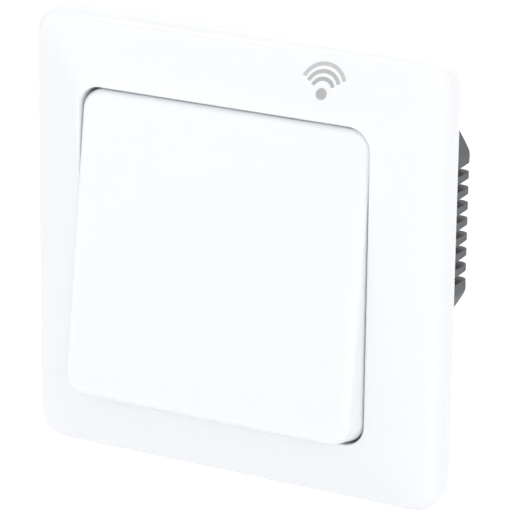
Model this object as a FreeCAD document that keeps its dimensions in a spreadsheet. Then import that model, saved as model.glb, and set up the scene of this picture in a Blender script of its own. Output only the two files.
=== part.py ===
"""Flush-mounted wireless wall switch: cover frame, rocker, mounting plate and rear insert.

Millimetres. X is to the right, Z is up and the front faces -Y.
The wall surface is the plane Y = 0, and the origin is the centre of the mounting plate's back.
"""

import FreeCAD, Part
import math
import os
from types import SimpleNamespace

import Sketcher

Vector = FreeCAD.Vector

# Driving dimensions, in millimetres and degrees

DIMENSIONS = {
    # cover frame
    "frame_side": 80.0,
    "frame_corner": 5.0,
    "frame_edge": 4.7,
    "frame_rise": 9.5,
    "frame_wall": 1.8,
    "frame_edge_round": 2.6,
    "opening_side": 56.3,
    "opening_corner": 4.0,
    "opening_land": 0.4,
    "opening_round": 0.3,
    "skirt_wall": 1.3,
    "skirt_gap": 0.3,
    "frame_rib_wall": 1.0,
    "frame_rib_place": 9.0,
    "ridge_height": 0.45,
    "ridge_depth": 4.4,
    # radio-wave mark on the top slope
    "mark_inset": 10.15,
    "mark_up": 4.85,
    "mark_dot_radius": 1.02,
    "mark_first_arc": 2.67,
    "mark_arc_step": 1.29,
    "mark_stroke": 0.62,
    "mark_half_angle": 55.0,
    "mark_recess": 0.4,
    "mark_sink": 0.08,
    "mark_dot_round": 0.24,
    # rocker
    "rocker_gap": 0.25,
    "rocker_end_gap": 0.64,
    "rocker_swing_gap": 0.4,
    "rocker_edge_round": 1.0,
    "rocker_front_wall": 1.8,
    "rocker_side_wall": 1.6,
    "rocker_skirt": 6.9,
    "rocker_reach": 5.36,
    "rocker_tilt": 7.25,
    "pivot_front": 6.64,
    "pivot_radius": 1.1,
    "pivot_play": 0.05,
    "carrier_wall": 1.2,
    "carrier_inset": 0.5,
    "carrier_corner": 2.0,
    "carrier_ear_wall": 1.6,
    "carrier_ear_radius": 2.4,
    "carrier_rib_place": 10.0,
    "carrier_rib_wall": 1.2,
    "carrier_rib_height": 1.5,
    "peg_place_x": 18.0,
    "peg_place_z": 17.0,
    "peg_radius": 1.6,
    "peg_play": 0.05,
    "peg_stand": 0.6,
    # detent
    "tower_radius": 3.2,
    "tower_reach": 6.14,
    "tower_bore_radius": 2.15,
    "tower_bore_end": 0.7,
    "plunger_play": 0.1,
    "plunger_back": 2.74,
    "plunger_tip": 8.74,
    "spring_wire": 0.4,
    "spring_turns": 4.0,
    # mounting plate
    "plate_margin": 4.5,
    "plate_corner": 4.0,
    "plate_wall": 1.2,
    "plate_opening_play": 0.2,
    "box_screw_spacing": 60.0,
    "box_slot_radius": 1.9,
    "box_slot_length": 6.0,
    "plate_screw_web": 1.24,
    "plate_screw_radius": 1.25,
    "screw_hole_play": 0.15,
    "plate_screw_length": 9.0,
    "plate_screw_head_radius": 2.3,
    "plate_screw_head": 1.3,
    "lug_wall": 1.0,
    "lug_reach": 3.6,
    "lug_width": 2.8,
    # base frame
    "base_margin": 3.2,
    "base_corner": 3.0,
    "base_play": 0.8,
    "base_wall": 1.4,
    "base_pin_inset": 7.4,
    "base_pin_radius": 1.1,
    "base_pin_play": 0.05,
    "latch_place": 16.0,
    "latch_width": 6.0,
    "latch_wall": 1.2,
    "latch_reach": 4.5,
    "latch_gap": 0.15,
    # housing
    "housing_radius": 28.75,
    "housing_flat_cut": 3.15,
    "housing_back": 36.7,
    "housing_wall": 1.6,
    "housing_back_wall": 1.8,
    "housing_edge_round": 1.8,
    "scallop_radius": 2.0,
    "boss_radius": 2.4,
    "boss_length": 12.4,
    "boss_bore_depth": 10.5,
    "vent_count": 8,
    "vent_pitch": 2.88,
    "vent_front_height": 1.1,
    "vent_back_height": 1.9,
    "vent_length": 10.0,
    "vent_inward": 7.0,
    # front cover
    "flange_wall": 1.6,
    "boss_disc_margin": 5.85,
    "boss_disc_stand": 1.3,
    "tower_hole_radius": 4.6,
    "post_margin": 0.5,
    "post_wall": 1.9,
    "post_radius": 2.0,
    "post_ear_gap": 0.4,
    "standoff_x": 10.0,
    "standoff_z": 20.5,
    "standoff_radius": 1.8,
    # contact seesaw
    "bridge_pivot": 4.2,
    "bridge_tilt": 5.8,
    "bridge_length": 12.8,
    "bridge_width": 4.4,
    "bridge_wall": 0.8,
    "bridge_front": 1.7,
    "bridge_hub_radius": 1.4,
    "bridge_pin_radius": 0.8,
    "bridge_pin_play": 0.05,
    "contact_place": 5.3,
    "contact_radius": 1.1,
    "contact_height": 0.8,
    "contact_gap": 0.4,
    "bracket_gap": 0.4,
    "bracket_wall": 0.8,
    "bracket_half_height": 2.2,
    "contact_post_wall": 2.0,
    "contact_post_width": 3.0,
    # boards
    "board_wall": 1.6,
    "board_play": 0.5,
    "board_flat_play": 0.6,
    "boss_clearance": 0.6,
    "control_board_front": 8.0,
    "power_board_back": 22.6,
    "spacer_radius": 2.0,
    # parts on the boards
    "radio_width": 14.0,
    "radio_height": 12.0,
    "radio_wall": 0.8,
    "radio_gap": 4.0,
    "radio_z": 9.0,
    "shield_margin": 1.6,
    "shield_left": 5.2,
    "shield_stand": 1.9,
    "antenna_margin": 8.55,
    "antenna_wire": 0.45,
    "antenna_gap": 0.3,
    "antenna_sweep": 210.0,
    "relay_width": 20.0,
    "relay_height": 15.6,
    "relay_stand": 10.2,
    "relay_gap": 3.5,
    "relay_z": -1.0,
    "relay_edge": 0.8,
    "transformer_width": 14.0,
    "transformer_height": 13.0,
    "transformer_stand": 9.6,
    "transformer_gap": 5.5,
    "transformer_z": -2.0,
    "winding_margin": 2.4,
    "capacitor_radius": 4.0,
    "capacitor_stand": 10.0,
    "capacitor_edge": 0.6,
    "capacitor_gap": 7.0,
    "capacitor_z": 7.0,
    "capacitor_pitch": 9.2,
    "choke_radius": 4.8,
    "choke_wire": 2.2,
    "choke_gap": 3.5,
    "choke_z": 3.0,
    "fuse_radius": 2.5,
    "fuse_length": 9.0,
    "fuse_cap_length": 2.0,
    "fuse_cap_wall": 0.2,
    "fuse_x": 8.0,
    "fuse_z": 16.5,
    "header_width": 15.0,
    "header_wall": 2.6,
    "header_z": -19.0,
    # terminals
    "bay_wall": 1.4,
    "bay_half_width": 16.3,
    "bay_top": 13.6,
    "block_play": 0.3,
    "block_bottom": 23.2,
    "block_back_sink": 0.7,
    "pole_count": 5,
    "pole_pitch": 6.2,
    "cage_width": 4.8,
    "cage_depth": 5.4,
    "cage_height": 7.0,
    "cage_wall": 0.8,
    "cage_play": 0.1,
    "cage_from_floor": 1.2,
    "well_radius": 2.3,
    "well_play": 0.2,
    "well_web": 0.8,
    "terminal_screw_radius": 1.3,
    "terminal_screw_head": 1.4,
    # claws
    "claw_axis_out": 1.6,
    "claw_axis_back": 2.2,
    "claw_pin_radius": 0.8,
    "claw_pin_play": 0.05,
    "claw_flat_gap": 0.3,
    "claw_wall": 1.0,
    "claw_half_width": 4.8,
    "claw_slot_half": 2.1,
    "claw_length": 17.8,
    "claw_foot": 1.7,
    "claw_lug_gap": 0.4,
    "claw_screw_gap": 0.25,
    "claw_screw_radius": 1.5,
    "claw_screw_length": 18.0,
    "claw_screw_head_radius": 2.3,
    "claw_screw_head": 1.2,
    "claw_notch_play": 0.6,
}


class Size:
    """A number together with the sheet formula that it comes from."""

    def __init__(self, value, formula):
        self.value = float(value)
        self.formula = formula

    def __add__(self, other):
        other = as_size(other)
        return Size(self.value + other.value, "(%s + %s)" % (self.formula, other.formula))

    def __sub__(self, other):
        other = as_size(other)
        return Size(self.value - other.value, "(%s - %s)" % (self.formula, other.formula))

    def __mul__(self, other):
        other = as_size(other)
        return Size(self.value * other.value, "(%s * %s)" % (self.formula, other.formula))

    def __truediv__(self, other):
        other = as_size(other)
        return Size(self.value / other.value, "(%s / %s)" % (self.formula, other.formula))

    def __radd__(self, other):
        return as_size(other) + self

    def __rsub__(self, other):
        return as_size(other) - self

    def __rmul__(self, other):
        return as_size(other) * self

    def __neg__(self):
        return Size(-self.value, "(0 - %s)" % self.formula)


def as_size(amount):
    if isinstance(amount, Size):
        return amount
    return Size(amount, "(%r)" % float(amount))


def root_of(amount):
    size = as_size(amount)
    return Size(math.sqrt(size.value), "sqrt(%s)" % size.formula)


def sine(angle):
    return Size(math.sin(math.radians(angle.value)), "sin(%s)" % angle.formula)


def cosine(angle):
    return Size(math.cos(math.radians(angle.value)), "cos(%s)" % angle.formula)


def angle_of_slope(slope):
    return Size(math.degrees(math.atan(slope.value)), "atan(%s)" % slope.formula)


# The document and its sheet

doc = FreeCAD.newDocument("wall_switch")
sheet = doc.addObject("Spreadsheet::Sheet", "sizes")
for row, (name, number) in enumerate(DIMENSIONS.items(), start=1):
    sheet.set("A%d" % row, name)
    sheet.set("B%d" % row, str(number))
    sheet.setAlias("B%d" % row, name)
doc.recompute()
dim = SimpleNamespace(
    **{name: Size(number, "sizes." + name) for name, number in DIMENSIONS.items()}
)
POLES = int(DIMENSIONS["pole_count"])

pieces = []


# Helpers that bind objects to the sheet


def bind(item, path, amount):
    """Ties one property of an object to the sheet, by its path."""
    item.setExpression(path, as_size(amount).formula)


def add_body(label):
    body = doc.addObject("PartDesign::Body", label)
    body.Label = label
    return body


def keep(item, label):
    """Names a finished sub-part and puts it on the list of files to write."""
    item.Label = label
    pieces.append(item)
    return item


def origin_part(body, role):
    return next(part for part in body.Origin.OriginFeatures if part.Role == role)


def add_sketch(body, name, at=0.0, plane="XZ_Plane"):
    """A sketch on one of the body's planes.

    On XZ_Plane its x is X and its y is Z, `at` is its place along Y, and it faces the front.
    On XY_Plane and YZ_Plane `at` is its place along Z or X.
    """
    sketch = body.newObject("Sketcher::SketchObject", name)
    sketch.AttachmentSupport = [(origin_part(body, plane), "")]
    sketch.MapMode = "FlatFace"
    place = -as_size(at) if plane == "XZ_Plane" else as_size(at)
    bind(sketch, "AttachmentOffset.Base.z", place)
    return sketch


def fix_point(sketch, curve, end, x, y):
    """Holds a point of the sketch at a place that comes from the sheet."""
    x = as_size(x)
    y = as_size(y)
    across = sketch.addConstraint(Sketcher.Constraint("DistanceX", -1, 1, curve, end, x.value))
    sketch.setExpression("Constraints[%d]" % across, x.formula)
    up = sketch.addConstraint(Sketcher.Constraint("DistanceY", -1, 1, curve, end, y.value))
    sketch.setExpression("Constraints[%d]" % up, y.formula)


def fix_radius(sketch, curve, radius):
    index = sketch.addConstraint(Sketcher.Constraint("Radius", curve, radius.value))
    sketch.setExpression("Constraints[%d]" % index, radius.formula)


def draw_polygon(sketch, corners):
    """A closed outline of straight lines through the corners."""
    corners = [(as_size(x), as_size(y)) for x, y in corners]
    first = sketch.GeometryCount
    count = len(corners)
    for number in range(count):
        x0, y0 = corners[number]
        x1, y1 = corners[(number + 1) % count]
        start = Vector(x0.value, y0.value, 0)
        sketch.addGeometry(Part.LineSegment(start, Vector(x1.value, y1.value, 0)), False)
    for number in range(count):
        following = first + (number + 1) % count
        sketch.addConstraint(Sketcher.Constraint("Coincident", first + number, 2, following, 1))
        fix_point(sketch, first + number, 1, *corners[number])


def draw_rectangle(sketch, left, right, low, high):
    draw_polygon(sketch, [(left, low), (right, low), (right, high), (left, high)])


def draw_circle(sketch, radius, x=0.0, y=0.0):
    radius = as_size(radius)
    x = as_size(x)
    y = as_size(y)
    circle = Part.Circle(Vector(x.value, y.value, 0), Vector(0, 0, 1), radius.value)
    index = sketch.addGeometry(circle, False)
    fix_radius(sketch, index, radius)
    fix_point(sketch, index, 3, x, y)


def add_arc(sketch, x, y, radius, start, end):
    """An arc given by its centre, radius and two angles in degrees."""
    circle = Part.Circle(Vector(x, y, 0), Vector(0, 0, 1), radius)
    arc = Part.ArcOfCircle(circle, math.radians(start), math.radians(end))
    return sketch.addGeometry(arc, False)


def draw_rounded(sketch, width, height, corner):
    """A rectangle with round corners, centred on the sketch's origin."""
    width = as_size(width)
    height = as_size(height)
    corner = as_size(corner)
    half_x = width.value / 2
    half_y = height.value / 2
    inner_x = half_x - corner.value
    inner_y = half_y - corner.value
    runs = [
        ((-inner_x, -half_y), (inner_x, -half_y)),
        ((half_x, -inner_y), (half_x, inner_y)),
        ((inner_x, half_y), (-inner_x, half_y)),
        ((-half_x, inner_y), (-half_x, -inner_y)),
    ]
    centres = [(inner_x, -inner_y), (inner_x, inner_y), (-inner_x, inner_y), (-inner_x, -inner_y)]
    lines = []
    for start, end in runs:
        segment = Part.LineSegment(Vector(*start, 0), Vector(*end, 0))
        lines.append(sketch.addGeometry(segment, False))
    arcs = []
    for number, (x, y) in enumerate(centres):
        turn = 90 * number - 90
        arcs.append(add_arc(sketch, x, y, corner.value, turn, turn + 90))
    for number in range(4):
        following = lines[(number + 1) % 4]
        sketch.addConstraint(Sketcher.Constraint("Tangent", lines[number], 2, arcs[number], 1))
        sketch.addConstraint(Sketcher.Constraint("Tangent", arcs[number], 2, following, 1))
    for arc in arcs[1:]:
        sketch.addConstraint(Sketcher.Constraint("Equal", arcs[0], arc))
    fix_radius(sketch, arcs[0], corner)
    for line, size in ((lines[0], -height / 2), (lines[2], height / 2)):
        sketch.addConstraint(Sketcher.Constraint("Horizontal", line))
        level = sketch.addConstraint(Sketcher.Constraint("DistanceY", -1, 1, line, 1, size.value))
        sketch.setExpression("Constraints[%d]" % level, size.formula)
    for line, size in ((lines[1], width / 2), (lines[3], -width / 2)):
        sketch.addConstraint(Sketcher.Constraint("Vertical", line))
        side = sketch.addConstraint(Sketcher.Constraint("DistanceX", -1, 1, line, 1, size.value))
        sketch.setExpression("Constraints[%d]" % side, size.formula)


def draw_flatted_disc(sketch, radius, flat):
    """A circle about the origin, cut flat on the left and on the right."""
    half = math.sqrt(radius.value**2 - flat.value**2)
    edge = math.degrees(math.atan2(half, flat.value))
    top = add_arc(sketch, 0, 0, radius.value, edge, 180 - edge)
    bottom = add_arc(sketch, 0, 0, radius.value, 180 + edge, 360 - edge)
    right = sketch.addGeometry(
        Part.LineSegment(Vector(flat.value, -half, 0), Vector(flat.value, half, 0)), False
    )
    left = sketch.addGeometry(
        Part.LineSegment(Vector(-flat.value, half, 0), Vector(-flat.value, -half, 0)), False
    )
    for first, second in ((right, top), (top, left), (left, bottom), (bottom, right)):
        sketch.addConstraint(Sketcher.Constraint("Coincident", first, 2, second, 1))
    for arc in (top, bottom):
        sketch.addConstraint(Sketcher.Constraint("Coincident", arc, 3, -1, 1))
    sketch.addConstraint(Sketcher.Constraint("Equal", top, bottom))
    fix_radius(sketch, top, radius)
    for line, size in ((right, flat), (left, -flat)):
        sketch.addConstraint(Sketcher.Constraint("Vertical", line))
        side = sketch.addConstraint(Sketcher.Constraint("DistanceX", -1, 1, line, 1, size.value))
        sketch.setExpression("Constraints[%d]" % side, size.formula)


def draw_stadium(sketch, x, y, radius, length):
    """A slot with round ends that runs along the sketch's y, centred on (x, y)."""
    reach = (length - 2 * radius) / 2
    across = as_size(x).value
    middle = as_size(y).value
    high = middle + reach.value
    low = middle - reach.value
    upper = add_arc(sketch, across, high, radius.value, 0, 180)
    lower = add_arc(sketch, across, low, radius.value, 180, 360)
    sides = []
    for side, start, end in ((-1, high, low), (1, low, high)):
        edge = across + side * radius.value
        sides.append(sketch.addGeometry(
            Part.LineSegment(Vector(edge, start, 0), Vector(edge, end, 0)), False
        ))
    chain = [upper, sides[0], lower, sides[1]]
    for number in range(4):
        following = chain[(number + 1) % 4]
        sketch.addConstraint(Sketcher.Constraint("Tangent", chain[number], 2, following, 1))
    fix_radius(sketch, upper, radius)
    fix_point(sketch, upper, 3, x, y + reach)
    fix_point(sketch, lower, 3, x, y - reach)


def pad(body, sketch, length, symmetric=False):
    """Material from the sketch outwards: towards -Y on XZ_Plane, +X on YZ_Plane, +Z on XY_Plane."""
    feature = body.newObject("PartDesign::Pad", sketch.Name + "_pad")
    feature.Profile = sketch
    feature.Midplane = symmetric
    bind(feature, "Length", length)
    sketch.Visibility = False
    return feature


def pocket(body, sketch, length, symmetric=False):
    """A cut in the same direction as a pad would grow."""
    feature = body.newObject("PartDesign::Pocket", sketch.Name + "_pocket")
    feature.Profile = sketch
    feature.Reversed = True
    feature.Midplane = symmetric
    bind(feature, "Length", length)
    sketch.Visibility = False
    return feature


def around(body, features, count):
    """Repeats features evenly round the body's Y axis."""
    pattern = body.newObject("PartDesign::PolarPattern", "round_pattern")
    pattern.Originals = features
    pattern.Axis = (origin_part(body, "Y_Axis"), [""])
    pattern.Angle = 360
    pattern.Occurrences = count
    body.Tip = pattern
    return pattern


def along(body, features, role, count, pitch):
    """Repeats features in a row along one of the body's axes."""
    pattern = body.newObject("PartDesign::LinearPattern", "row_pattern")
    pattern.Originals = features
    pattern.Direction = (origin_part(body, role), [""])
    pattern.Mode = 1
    pattern.Occurrences = count
    bind(pattern, "Offset", pitch)
    body.Tip = pattern
    return pattern


def round_edges(body, radius, chosen, kind="Fillet"):
    """Rounds the edges of the body's last shape that `chosen` picks."""
    doc.recompute()
    base = body.Tip
    names = ["Edge%d" % n for n, edge in enumerate(base.Shape.Edges, start=1) if chosen(edge)]
    if not names:
        raise RuntimeError("no edge to round on " + body.Label)
    feature = body.newObject("PartDesign::" + kind, kind.lower())
    feature.Base = (base, names)
    bind(feature, "Radius" if kind == "Fillet" else "Size", radius)
    body.Tip = feature
    return feature


def level_edge(edge, y):
    """True for an edge that lies in the plane Y = y."""
    box = edge.BoundBox
    return abs(box.YMin - y) < 1e-4 and abs(box.YMax - y) < 1e-4


def reach_of(edge):
    """How far an edge lies from the Y axis, measured square to the sides."""
    box = edge.BoundBox
    return max(abs(box.XMin), abs(box.XMax), abs(box.ZMin), abs(box.ZMax))


def place(item, x=0.0, y=0.0, z=0.0):
    for axis, amount in (("x", x), ("y", y), ("z", z)):
        bind(item, "Placement.Base." + axis, amount)
    return item


def turn(item, axis, angle):
    """Turns an object about one of the main axes, by an angle from the sheet."""
    item.Placement = FreeCAD.Placement(Vector(0, 0, 0), FreeCAD.Rotation(axis, 1.0))
    bind(item, "Placement.Rotation.Angle", angle)
    return item


def add_box(name, x, y, z):
    """A box between two places on each axis, each given as (low, high)."""
    box = doc.addObject("Part::Box", name)
    for side, (low, high) in (("Length", x), ("Width", y), ("Height", z)):
        bind(box, side, as_size(high) - low)
    return place(box, x[0], y[0], z[0])


def add_cylinder(name, radius, length, x, y, z, axis=Vector(0, 1, 0)):
    """A cylinder that starts at (x, y, z) and runs along an axis."""
    cylinder = doc.addObject("Part::Cylinder", name)
    bind(cylinder, "Radius", radius)
    bind(cylinder, "Height", length)
    cylinder.Placement = FreeCAD.Placement(Vector(0, 0, 0), FreeCAD.Rotation(Vector(0, 0, 1), axis))
    return place(cylinder, x, y, z)


def fuse(name, *parts):
    result = doc.addObject("Part::MultiFuse", name)
    result.Shapes = list(parts)
    result.Refine = True
    return result


def cut(name, base, tool):
    result = doc.addObject("Part::Cut", name)
    result.Base = base
    result.Tool = tool
    return result


def group(name, parts):
    """Several like solids that share one node."""
    result = doc.addObject("Part::Compound", name)
    result.Links = parts
    return result


def chamfer_all(name, base, size, chosen):
    """A chamfer on the chosen edges of a primitive."""
    doc.recompute()
    result = doc.addObject("Part::Chamfer", name)
    result.Base = base
    picks = [n for n, edge in enumerate(base.Shape.Edges, start=1) if chosen(edge)]
    result.Edges = [(n, size.value, size.value) for n in picks]
    return result


# Places that several pieces share

frame_half = dim.frame_side / 2
opening_half = dim.opening_side / 2
land_half = opening_half + dim.opening_land
slope = (dim.frame_rise - dim.frame_edge) / (frame_half - land_half)
slope_angle = angle_of_slope(slope)
under_slope = dim.frame_wall * root_of(1 + slope * slope)
skirt_half = opening_half + dim.skirt_wall
mark_place = opening_half - dim.mark_inset
skirt_start = dim.plate_wall + dim.skirt_gap
base_front = dim.plate_wall + dim.base_wall
plate_side = dim.frame_side - 2 * dim.plate_margin
base_side = dim.frame_side - 2 * dim.base_margin
base_pin_place = frame_half - dim.base_pin_inset
rocker_width = dim.opening_side - 2 * dim.rocker_gap
rocker_corner = dim.opening_corner - dim.rocker_gap
cap_inside = dim.rocker_reach - dim.rocker_front_wall
cap_skirt_end = dim.rocker_reach - dim.rocker_skirt
carrier_front = cap_inside
carrier_back = cap_inside - dim.carrier_wall
housing_flat = dim.housing_radius - dim.housing_flat_cut
boss_disc_radius = dim.housing_radius - dim.boss_disc_margin
post_outer = boss_disc_radius - dim.post_margin
ear_inner = post_outer + dim.post_ear_gap
post_inner = post_outer - dim.post_wall
screw_hole_radius = dim.plate_screw_radius + dim.screw_hole_play
plate_opening_radius = boss_disc_radius + dim.plate_opening_play
plate_screw_place = (plate_opening_radius + dim.plate_screw_web + screw_hole_radius) / root_of(2)
flat_inside = housing_flat - dim.housing_wall
radius_inside = dim.housing_radius - dim.housing_wall
back_inside = dim.housing_back - dim.housing_back_wall
control_back = dim.control_board_front + dim.board_wall
power_front = dim.power_board_back - dim.board_wall
claw_axis_x = housing_flat + dim.claw_axis_out
claw_screw_x = housing_flat + dim.claw_screw_gap + dim.claw_screw_radius
bay_floor = dim.power_board_back + dim.bay_wall
vent_top = dim.vent_pitch * (dim.vent_count - 1) / 2


def slope_height(half):
    """Height of the frame's sloping face in front of the wall, at a distance from the centre."""
    return dim.frame_edge + slope * (frame_half - half)


def rocker_half_height(depth):
    """Half the rocker's height at a depth in front of its pivot axis.

    Its ends are drafted. The face's edge clears the opening when it is pressed in, and the
    skirt's edge clears it all the way through its swing.
    """
    pressed = opening_half - dim.rocker_end_gap - dim.rocker_reach * sine(dim.rocker_tilt)
    front = pressed / cosine(dim.rocker_tilt)
    swing = opening_half - dim.rocker_swing_gap
    rear = root_of(swing * swing - cap_skirt_end * cap_skirt_end)
    return rear - (rear - front) * (depth - cap_skirt_end) / dim.rocker_skirt


# Cover frame: a shallow pyramid with a square opening, hollow behind


def put_on_slope(sketch):
    """Lays a sketch on the top slope, its origin at the middle of the opening's edge."""
    sketch.AttachmentOffset = FreeCAD.Placement(
        Vector(0, 0, 0), FreeCAD.Rotation(Vector(-1, 0, 0), 1.0)
    )
    bind(sketch, "AttachmentOffset.Base.y", land_half)
    bind(sketch, "AttachmentOffset.Base.z", dim.frame_rise)
    bind(sketch, "AttachmentOffset.Rotation.Angle", slope_angle)


def draw_mark_arcs(sketch):
    """Three bands about the dot's centre, each closed by two radial ends."""
    centre_x = mark_place
    centre_y = dim.mark_up
    start = 90 - dim.mark_half_angle
    end = 90 + dim.mark_half_angle
    for number in range(3):
        middle = dim.mark_first_arc + number * dim.mark_arc_step
        radii = (middle - dim.mark_stroke / 2, middle + dim.mark_stroke / 2)
        arcs = []
        for radius in radii:
            arc = add_arc(
                sketch, centre_x.value, centre_y.value, radius.value, start.value, end.value
            )
            fix_radius(sketch, arc, radius)
            fix_point(sketch, arc, 3, centre_x, centre_y)
            arcs.append(arc)
        for arc_end, angle in ((1, start), (2, end)):
            direction = Vector(
                math.cos(math.radians(angle.value)), math.sin(math.radians(angle.value)), 0
            )
            middle_point = Vector(centre_x.value, centre_y.value, 0)
            line = sketch.addGeometry(Part.LineSegment(
                middle_point + direction * radii[0].value,
                middle_point + direction * radii[1].value,
            ), False)
            sketch.addConstraint(Sketcher.Constraint("Coincident", line, 1, arcs[0], arc_end))
            sketch.addConstraint(Sketcher.Constraint("Coincident", line, 2, arcs[1], arc_end))
            tilt = sketch.addConstraint(
                Sketcher.Constraint("Angle", line, math.radians(angle.value))
            )
            sketch.setExpression("Constraints[%d]" % tilt, angle.formula)


def build_cover_frame():
    body = add_body("cover_frame")
    rim = add_sketch(body, "frame_rim")
    draw_rounded(rim, dim.frame_side, dim.frame_side, dim.frame_corner)
    pad(body, rim, dim.frame_edge)

    foot = add_sketch(body, "slope_foot", -dim.frame_edge)
    draw_rounded(foot, dim.frame_side, dim.frame_side, dim.frame_corner)
    crest = add_sketch(body, "slope_crest", -dim.frame_rise)
    land_corner = dim.opening_corner + dim.opening_land
    draw_rounded(crest, 2 * land_half, 2 * land_half, land_corner)
    slopes = body.newObject("PartDesign::AdditiveLoft", "frame_slopes")
    slopes.Profile = foot
    slopes.Sections = [crest]
    slopes.Ruled = True
    rim_level = -dim.frame_edge.value
    round_edges(body, dim.frame_edge_round, lambda edge: level_edge(edge, rim_level))

    inner_half = frame_half - dim.frame_wall
    inner_foot_height = slope_height(inner_half) - under_slope
    inner_corner = dim.frame_corner - dim.frame_wall
    hollow = add_sketch(body, "frame_hollow")
    draw_rounded(hollow, 2 * inner_half, 2 * inner_half, inner_corner)
    pocket(body, hollow, inner_foot_height)

    crest_half = opening_half + dim.skirt_wall / 2
    inner_foot = add_sketch(body, "hollow_foot", -inner_foot_height)
    draw_rounded(inner_foot, 2 * inner_half, 2 * inner_half, inner_corner)
    inner_crest = add_sketch(body, "hollow_crest", under_slope - slope_height(crest_half))
    draw_rounded(
        inner_crest, 2 * crest_half, 2 * crest_half, dim.opening_corner + dim.skirt_wall / 2
    )
    inner_slopes = body.newObject("PartDesign::SubtractiveLoft", "hollow_slopes")
    inner_slopes.Profile = inner_foot
    inner_slopes.Sections = [inner_crest]
    inner_slopes.Ruled = True

    skirt = add_sketch(body, "skirt", -skirt_start)
    draw_rounded(skirt, 2 * skirt_half, 2 * skirt_half, dim.opening_corner + dim.skirt_wall)
    pad(body, skirt, dim.frame_rise - dim.frame_wall / 2 - skirt_start)

    opening = add_sketch(body, "opening")
    draw_rounded(opening, dim.opening_side, dim.opening_side, dim.opening_corner)
    pocket(body, opening, dim.frame_rise + 1)

    rib_start = base_front + dim.skirt_gap
    rib_inner = skirt_half - dim.skirt_wall / 2
    rib_outer = inner_half + dim.frame_wall / 2
    rib_sink = under_slope / 2
    ribs = []
    for side, name in ((1, "rib_high"), (-1, "rib_low")):
        low = side * dim.frame_rib_place - dim.frame_rib_wall / 2
        rib = add_sketch(body, name, low, "XY_Plane")
        draw_polygon(rib, [
            (rib_inner, -rib_start),
            (rib_outer, -rib_start),
            (rib_outer, rib_sink - slope_height(rib_outer)),
            (rib_inner, rib_sink - slope_height(rib_inner)),
        ])
        ribs.append(pad(body, rib, dim.frame_rib_wall))
    around(body, ribs, 4)

    ridges = []
    for side, name in ((1, "ridge_high"), (-1, "ridge_low")):
        ridge = add_sketch(body, name, side * dim.latch_place - dim.latch_width / 2, "XY_Plane")
        draw_polygon(ridge, [
            (skirt_half - dim.skirt_wall / 2, -dim.ridge_depth),
            (skirt_half + dim.ridge_height, -dim.ridge_depth),
            (skirt_half - dim.skirt_wall / 2, -(dim.ridge_depth - 3 * dim.ridge_height)),
        ])
        ridges.append(pad(body, ridge, dim.latch_width))
    around(body, ridges, 4)

    notch = add_sketch(body, "claw_screw_notch")
    notch_half = dim.claw_screw_head_radius + dim.claw_notch_play
    draw_rectangle(notch, -skirt_half - 1, skirt_half + 1, -notch_half, notch_half)
    pocket(body, notch, dim.plate_wall + dim.claw_screw_head + dim.claw_notch_play)

    arcs = add_sketch(body, "mark_arcs")
    put_on_slope(arcs)
    draw_mark_arcs(arcs)
    recess = pocket(body, arcs, dim.mark_recess)
    recess.Reversed = False
    dot = add_sketch(body, "mark_dot")
    put_on_slope(dot)
    draw_circle(dot, dim.mark_dot_radius, mark_place, dim.mark_up)
    dot_recess = pocket(body, dot, dim.mark_recess)
    dot_recess.Reversed = False

    crest_level = -dim.frame_rise.value
    inner_reach = opening_half.value + 1e-3
    round_edges(
        body,
        dim.opening_round,
        lambda edge: level_edge(edge, crest_level) and reach_of(edge) < inner_reach,
    )
    return keep(body, "cover_frame")


def build_signal_mark():
    """The grey inlays of the mark: three arcs, and a dot with a domed face."""
    arcs = add_body("signal_arcs")
    bands = add_sketch(arcs, "arc_bands")
    put_on_slope(bands)
    bind(bands, "AttachmentOffset.Base.y", land_half - dim.mark_recess * sine(slope_angle))
    bind(bands, "AttachmentOffset.Base.z", dim.frame_rise - dim.mark_recess * cosine(slope_angle))
    draw_mark_arcs(bands)
    pad(arcs, bands, dim.mark_recess - dim.mark_sink)
    keep(arcs, "signal_arcs")

    dot = add_body("signal_dot")
    disc = add_sketch(dot, "dot_disc")
    put_on_slope(disc)
    bind(disc, "AttachmentOffset.Base.y", land_half - dim.mark_recess * sine(slope_angle))
    bind(disc, "AttachmentOffset.Base.z", dim.frame_rise - dim.mark_recess * cosine(slope_angle))
    draw_circle(disc, dim.mark_dot_radius, mark_place, dim.mark_up)
    pad(dot, disc, dim.mark_recess)
    doc.recompute()
    front = min(dot.Tip.Shape.Edges, key=lambda edge: edge.CenterOfMass.y)
    round_edges(
        dot,
        dim.mark_dot_round,
        lambda edge: edge.CenterOfMass.isEqual(front.CenterOfMass, 1e-4),
    )
    keep(dot, "signal_dot")


# Rocker: modelled level about its own pivot axis, then tilted into place


def seat_on_pivot(body):
    turn(body, Vector(-1, 0, 0), dim.rocker_tilt)
    bind(body, "Placement.Base.y", -dim.pivot_front)
    return body


def four_corners(sketch, radius, x, z):
    for side_x in (-1, 1):
        for side_z in (-1, 1):
            draw_circle(sketch, radius, side_x * x, side_z * z)


def loft_cap(body, kind, name, front, wall):
    """A drafted block from the skirt's end to `front`, smaller than the cap by `wall` all round."""
    outlines = []
    for end, depth in (("_rear", cap_skirt_end), ("_front", front)):
        outline = add_sketch(body, name + end, -depth)
        height = 2 * (rocker_half_height(depth) - wall)
        draw_rounded(outline, rocker_width - 2 * wall, height, rocker_corner - wall)
        outlines.append(outline)
    block = body.newObject("PartDesign::" + kind, name)
    block.Profile = outlines[0]
    block.Sections = outlines[1:]
    block.Ruled = True
    body.Tip = block
    return block


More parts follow.
